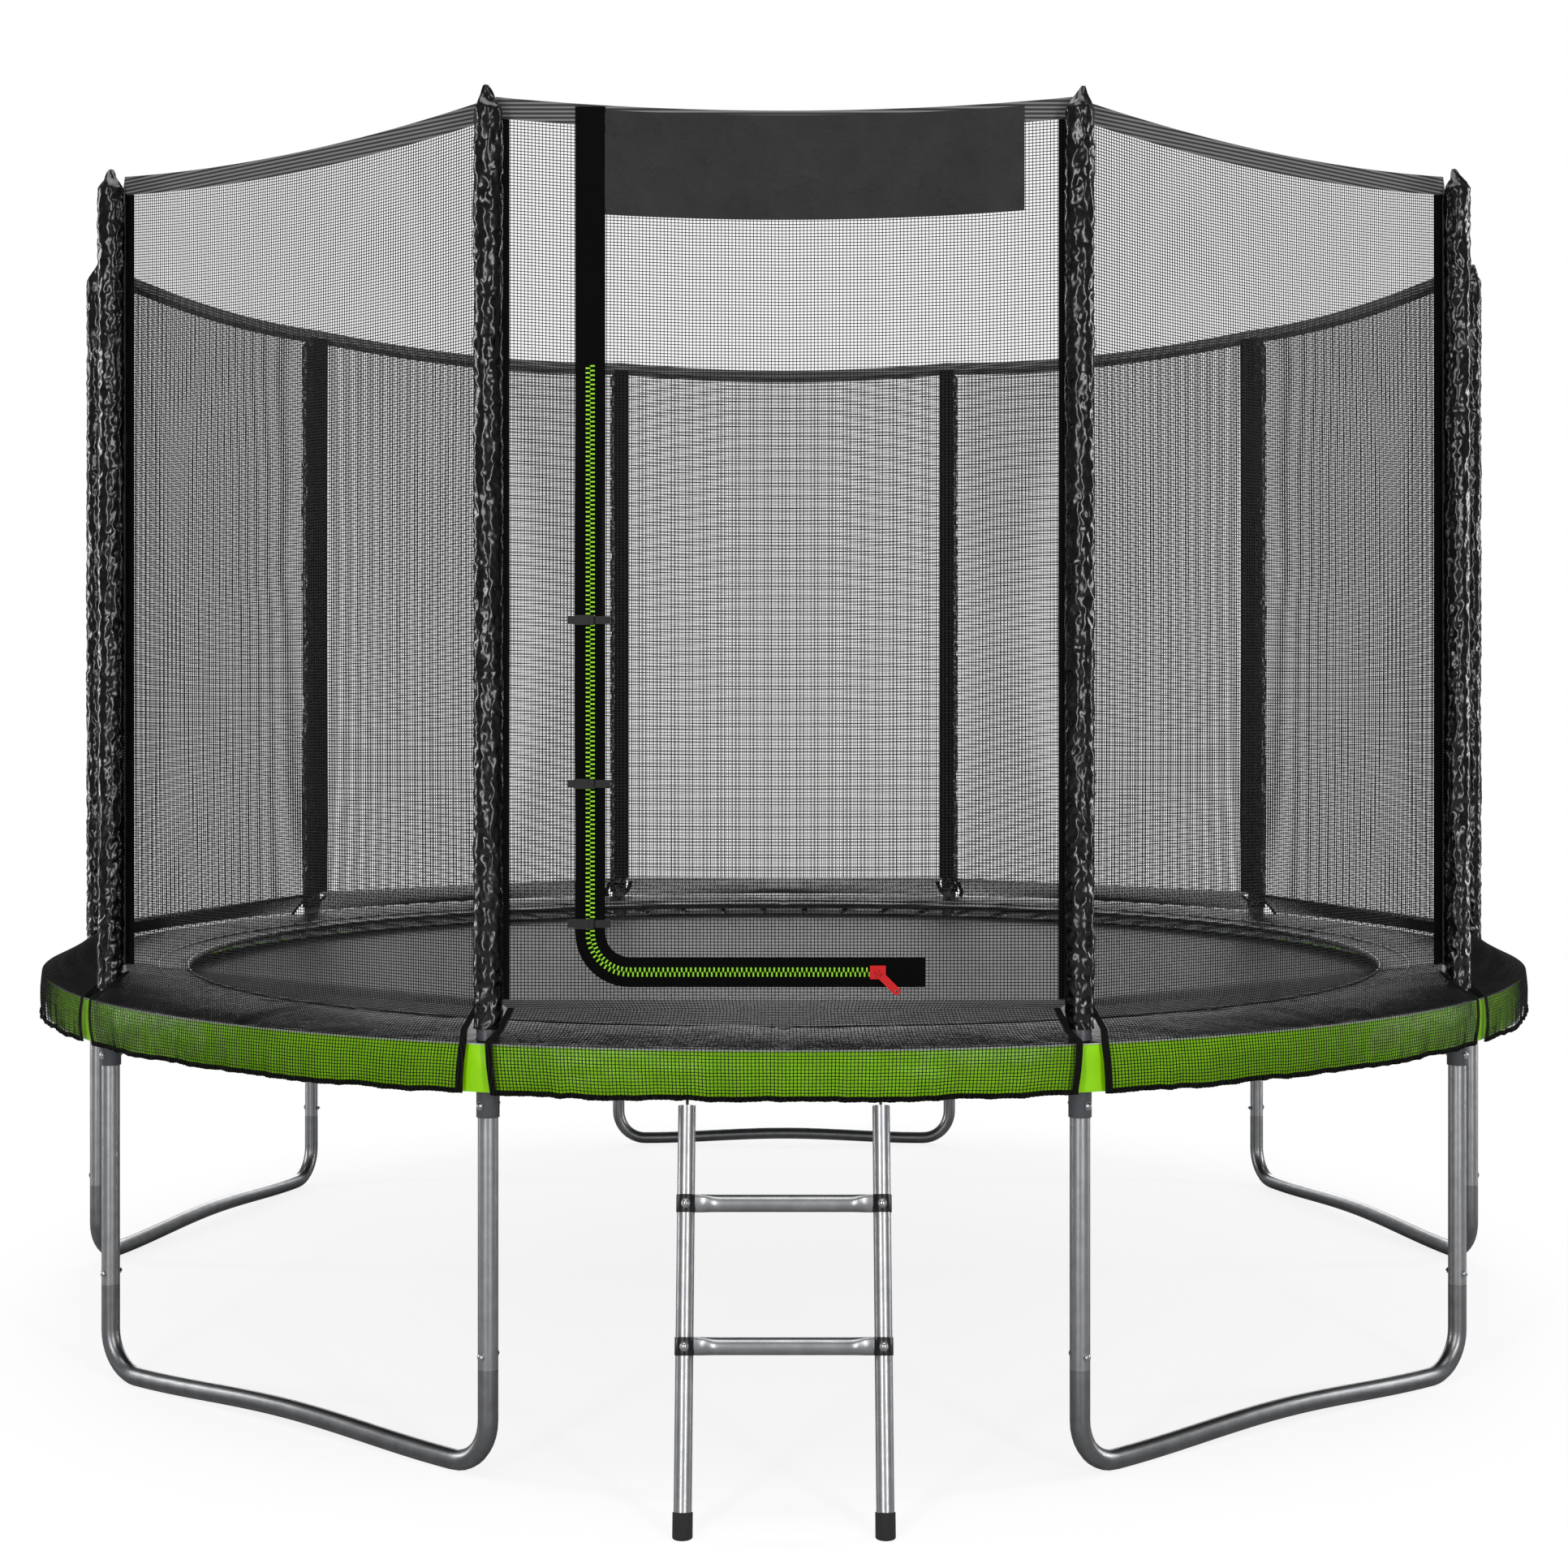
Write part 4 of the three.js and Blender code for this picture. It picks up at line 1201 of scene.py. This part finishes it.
def zip_points(top, end, spacing):
    """Evenly spaced places along the zip's line, each with its direction."""
    bend = Vector((ZIP_X + ZIP_BEND, 0, ZIP_Z + ZIP_BEND))
    down = top - bend.z
    curve = ZIP_BEND * math.pi / 2
    total = down + curve + (end - bend.x)
    found = []
    for k in range(int(total / spacing) + 1):
        run = k * spacing
        if run < down:
            found.append((Vector((ZIP_X, 0, top - run)), Vector((0, 0, -1))))
        elif run < down + curve:
            turn = (run - down) / ZIP_BEND
            ray = Vector((-math.cos(turn), 0, -math.sin(turn)))
            ahead = Vector((math.sin(turn), 0, -math.cos(turn)))
            found.append((bend + ray * ZIP_BEND, ahead))
        else:
            x = bend.x + run - down - curve
            found.append((Vector((x, 0, ZIP_Z)), Vector((1, 0, 0))))
    return found


def tape_strip():
    """The tape, slightly raised along its middle."""
    columns = []
    lines = zip_points(hem_line(ZIP_X) - 4 * MM, ZIP_END, 10 * MM)
    for place, ahead in lines:
        side = ahead.cross(Vector((0, 1, 0)))
        column = []
        for n in range(9):
            share = n / 4 - 1
            lift = 0.5 * MM * math.cos(math.pi * share / 2)
            depth = TAPE_FRONT - 0.4 * MM + lift
            column.append(place + side * share * TAPE / 2 + Vector((0, -depth, 0)))
        columns.append(column)
    return ribbon(columns, 1.2 * MM)


def tooth():
    """One nylon tooth: a rounded block with a raised nose, along +X."""
    bpy.ops.mesh.primitive_cube_add(size=1)
    block = bpy.context.object
    block.scale = (9.2 * MM, 2.1 * MM, 3.7 * MM)
    settle(block)
    refine(block, "BEVEL", width=0.9 * MM, segments=2)
    for vertex in block.data.vertices:
        if vertex.co.x > 2 * MM:
            vertex.co.z *= 0.8
    return smooth(block, 50)


black_tape = ribbed_tape("Black_zip_tape", "#030303", "#0E0E0E", 3 * MM)
nylon = grained(
    "Lime_moulded_nylon", "#8BD61A", 0.36, (300.0, 2.0), shades=("#8EE010", "#B4FA34")
)
tape = tape_strip()
shown_as(tape, "zip_tape", black_tape)
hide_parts("door_zip")
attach(tape, "root")
tooth_model = tooth()
teeth = []
closed = zip_points(TEETH_TOP, SLIDER.x - 12 * MM, TOOTH_PITCH / 2)
for k, (place, ahead) in enumerate(closed):
    side = ahead.cross(Vector((0, 1, 0))) * (1 if k % 2 else -1)
    seat = place - side * 4.3 * MM + Vector((0, -TAPE_FRONT - 0.9 * MM, 0))
    depth = Vector((0, 1, 0))
    spin = Matrix((side, depth, side.cross(depth))).transposed().to_4x4()
    teeth.append(copy_of(tooth_model, Matrix.Translation(seat) @ spin))
teeth = joined(teeth)
shown_as(teeth, "zip_teeth", nylon)
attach(teeth, "root")
bpy.data.objects.remove(tooth_model)

# ---- Zip slider and pull ----
# Red plastic: a moulded slider on the teeth, and a flat pull on its arch.


def give(node, material):
    """A finish for a frame piece whose own shape is kept."""
    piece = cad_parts[node]
    piece.data.materials.clear()
    piece.data.materials.append(material)


red_acetal = grained(
    "Red_moulded_acetal", "#DF1217", 0.34, (900.0, 2.0), spread=(0.26, 0.42),
    bump=(0.0001, 0.4),
)
give("zip_slider", red_acetal)
give("zip_pull", red_acetal)

# ---- Buckles ----
# Three side-release buckles on short straps hold the zip shut.


black_acetal = grained(
    "Black_moulded_acetal", "#0C0C0D", 0.34, (900.0, 2.0), (0.26, 0.44)
)
for k in range(1, 4):
    give(f"buckle_socket_{k}", black_acetal)
    give(f"buckle_clip_{k}", black_acetal)

# ---- Banner ----
# A plain dark grey panel of polyester cloth, sewn to the net under the upper hem.

banner_low, banner_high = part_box("banner")


def banner_column(u):
    """The cloth's top is tucked under the hem's edge, so it sags with it."""
    top = hem_line(u) - 9 * MM
    height = banner_high.z - banner_low.z
    column = []
    for n in range(25):
        share = n / 24
        ripple = 1 - 2 * abs(noise.noise(Vector((u * 9, share * 2.2, 4.2))))
        dent = noise.noise(Vector((u * 22, share * 5, 1.7)))
        lift = (2.6 * ripple + 1.4 * dent) * math.sin(math.pi * share) * MM
        depth = NET_PLANE + 3.4 * MM + lift
        column.append(Vector((u, -depth, top - height * share)))
    return column


banner_width = banner_high.x - banner_low.x
banner = ribbon(
    [banner_column(banner_low.x - MM + banner_width * k / 96) for k in range(97)],
    0.8 * MM,
)
# Painted shade: the shades follow the crease bump's noise, so the cloth is painted
# darker in the hollows of its creases.
grey_cloth_painted_crease_shade = grained(
    "Dark_grey_cloth_painted_crease_shade", "#3A3939", 0.6, (12.0, 6.0, (1, 1, 1), 0.6),
    shades=("#191818", "#3A3939"), bump=(0.03, 0.8), Specular_IOR_Level=0.3,
)
shown_as(banner, "banner_cloth", grey_cloth_painted_crease_shade)
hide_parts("banner")
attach(banner, "root")

# ---- Ladder ----
# Two zinc-coated rails lean out from the ring and hang on it by flat steel hooks.
# Rungs with flattened ends are bolted to them through black saddles, and rubber
# caps cover their feet.

LADDER_TUBE = 16 * MM
CAP = 18 * MM
ladder_low, ladder_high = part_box("ladder_rail_left")
LADDER_X = -(ladder_low.x + ladder_high.x) / 2
LADDER_RING_Y = -math.sqrt(RING**2 - LADDER_X**2)
LADDER_TOP = Vector((0, LADDER_RING_Y - 45 * MM, RAIL_Z - 60 * MM))
LADDER_FOOT = Vector((0, LADDER_RING_Y - 236 * MM, 0))
LEAN = (LADDER_TOP - LADDER_FOOT).normalized()
HOOK_STEEL = 5 * MM
HOOK_IN = 25 * MM
HOOK_OUT = 30 * MM


def ladder_point(x, z):
    """A place on a rail's centre line, at a height."""
    share = z / LADDER_TOP.z
    at = LADDER_FOOT.lerp(LADDER_TOP, share)
    return Vector((x, at.y, z))


def plate(outline, thickness, x):
    """A flat plate of an outline in Y and Z, centred on x, with eased edges."""
    points = [(x + thickness / 2, y, z) for y, z in outline]
    made = meshed("plate", points, [tuple(range(len(points)))])
    inward = -1 if made.data.polygons[0].normal.x > 0 else 1
    refine(made, "SOLIDIFY", thickness=thickness, offset=inward)
    face_outward(made)
    refine(made, "BEVEL", width=0.5 * MM, segments=2, limit_method="ANGLE")
    return smooth(made, 35)


def hook_outline():
    """Over the ring from inside, down its outside, and on into the rail."""
    arc = [math.radians(-20 + 200 * k / 24) for k in range(25)]
    outer, inner = (
        [(LADDER_RING_Y + r * math.cos(t), RAIL_Z + r * math.sin(t)) for t in arc]
        for r in (HOOK_OUT, HOOK_IN)
    )
    low = ladder_point(0, LADDER_TOP.z - 20 * MM)
    stem = [
        (LADDER_RING_Y - HOOK_OUT, LADDER_TOP.z + 9 * MM),
        (low.y - 9 * MM, low.z),
        (low.y + 9 * MM, low.z),
        (LADDER_RING_Y - HOOK_OUT + 18 * MM, LADDER_TOP.z + 9 * MM),
        (LADDER_RING_Y - HOOK_IN + 1 * MM, RAIL_Z - 14 * MM),
    ]
    return outer + stem + inner[::-1]


def rubber_foot(x):
    """A cap on the rail's end, level where it stands."""
    low = ladder_point(x, -20 * MM)
    line = [ladder_point(x, height * MM) for height in (-20, 4, 9, 38, 41)]
    cap = bent_tube(line, CAP, 32)
    bpy.ops.object.mode_set(mode="EDIT")
    bpy.ops.mesh.select_all(action="SELECT")
    bpy.ops.mesh.bisect(
        plane_co=(x, low.y, 0), plane_no=(0, 0, 1), clear_inner=True, use_fill=True
    )
    bpy.ops.object.mode_set(mode="OBJECT")
    refine(
        cap,
        "BEVEL",
        width=1.6 * MM,
        segments=3,
        limit_method="ANGLE",
        angle_limit=math.radians(50),
    )
    return smooth(cap, 40)


# Faintly dusty.
black_rubber = grained(
    "Black_moulded_rubber", "#141414", 0.72, (120.0, 4.0),
    shades=("#0E0E0E", "#252524"),
)
for side, x in (("left", -LADDER_X), ("right", LADDER_X)):
    ends = [ladder_point(x, 10 * MM), ladder_point(x, LADDER_TOP.z)]
    rail = bent_tube(ends, LADDER_TUBE)
    rail = joined([rail, plate(hook_outline(), HOOK_STEEL, x)])
    shown_as(rail, f"ladder_side_{side}", zinc_steel)
    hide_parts(f"ladder_rail_{side}")
    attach(rail, "ladder")
    foot = rubber_foot(x)
    shown_as(foot, f"ladder_cap_{side}", black_rubber)
    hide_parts(f"ladder_foot_{side}")
    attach(foot, "ladder")

# ---- Ladder rungs ----
# Steel tube pressed flat at both ends, one bolt through each end.

RUNG = 15.5 * MM
RUNG_FLAT = 6 * MM
FLAT_LENGTH = 30 * MM
SADDLE_WALL = 1.6 * MM


def pressed_rung(z):
    """A tube whose section turns from round to flat near its ends."""
    reach = LADDER_X - LADDER_TUBE - 0.5 * MM
    places = [(-reach + 2 * reach * k / 48, 0, 0) for k in range(49)]
    rung = bent_tube(places, RUNG, 32)
    for vertex in rung.data.vertices:
        end = reach - abs(vertex.co.x)
        flat = 1 - min(1.0, max(0.0, (end - 10 * MM) / FLAT_LENGTH))
        flat = flat * flat * (3 - 2 * flat)
        vertex.co.y *= 1 - flat * (1 - RUNG_FLAT / RUNG)
        vertex.co.z *= 1 + 0.06 * flat
    centre = ladder_point(0, z)
    rung.data.transform(Matrix.Translation(centre))
    return smooth(rung, 40)


def saddle(x, z):
    """A curved black seat between the rung's end and the rail."""
    centre = ladder_point(x, z)
    lean = LEAN.to_track_quat("Z", "Y").to_matrix().to_4x4()
    tilt = Matrix.Translation(centre) @ lean
    seat = cylinder(36, LADDER_TUBE + SADDLE_WALL, 32 * MM)
    refine(seat, "BEVEL", width=1.2 * MM, segments=2, limit_method="ANGLE")
    seat.data.transform(tilt)
    return smooth(seat, 35)


rung_bolt = domed_bolt(LADDER_TUBE + SADDLE_WALL)
for name in ("upper", "lower"):
    low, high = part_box(f"ladder_rung_{name}")
    z = (low.z + high.z) / 2
    rung = pressed_rung(z)
    shown_as(rung, f"ladder_step_{name}", zinc_steel)
    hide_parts(f"ladder_rung_{name}")
    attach(rung, "ladder")
    seats = joined([saddle(x, z) for x in (-LADDER_X, LADDER_X)])
    shown_as(seats, f"rung_saddles_{name}", black_acetal)
    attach(seats, "ladder")
    facing = Vector((0, -1, 0)) - LEAN * Vector((0, -1, 0)).dot(LEAN)
    heads = joined(
        [
            copy_of(rung_bolt, turned_to(facing, ladder_point(x, z)))
            for x in (-LADDER_X, LADDER_X)
        ]
    )
    shown_as(heads, f"rung_bolts_{name}", zinc_plate)
    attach(heads, "ladder")
bpy.data.objects.remove(rung_bolt)

bpy.ops.object.select_all(action="DESELECT")
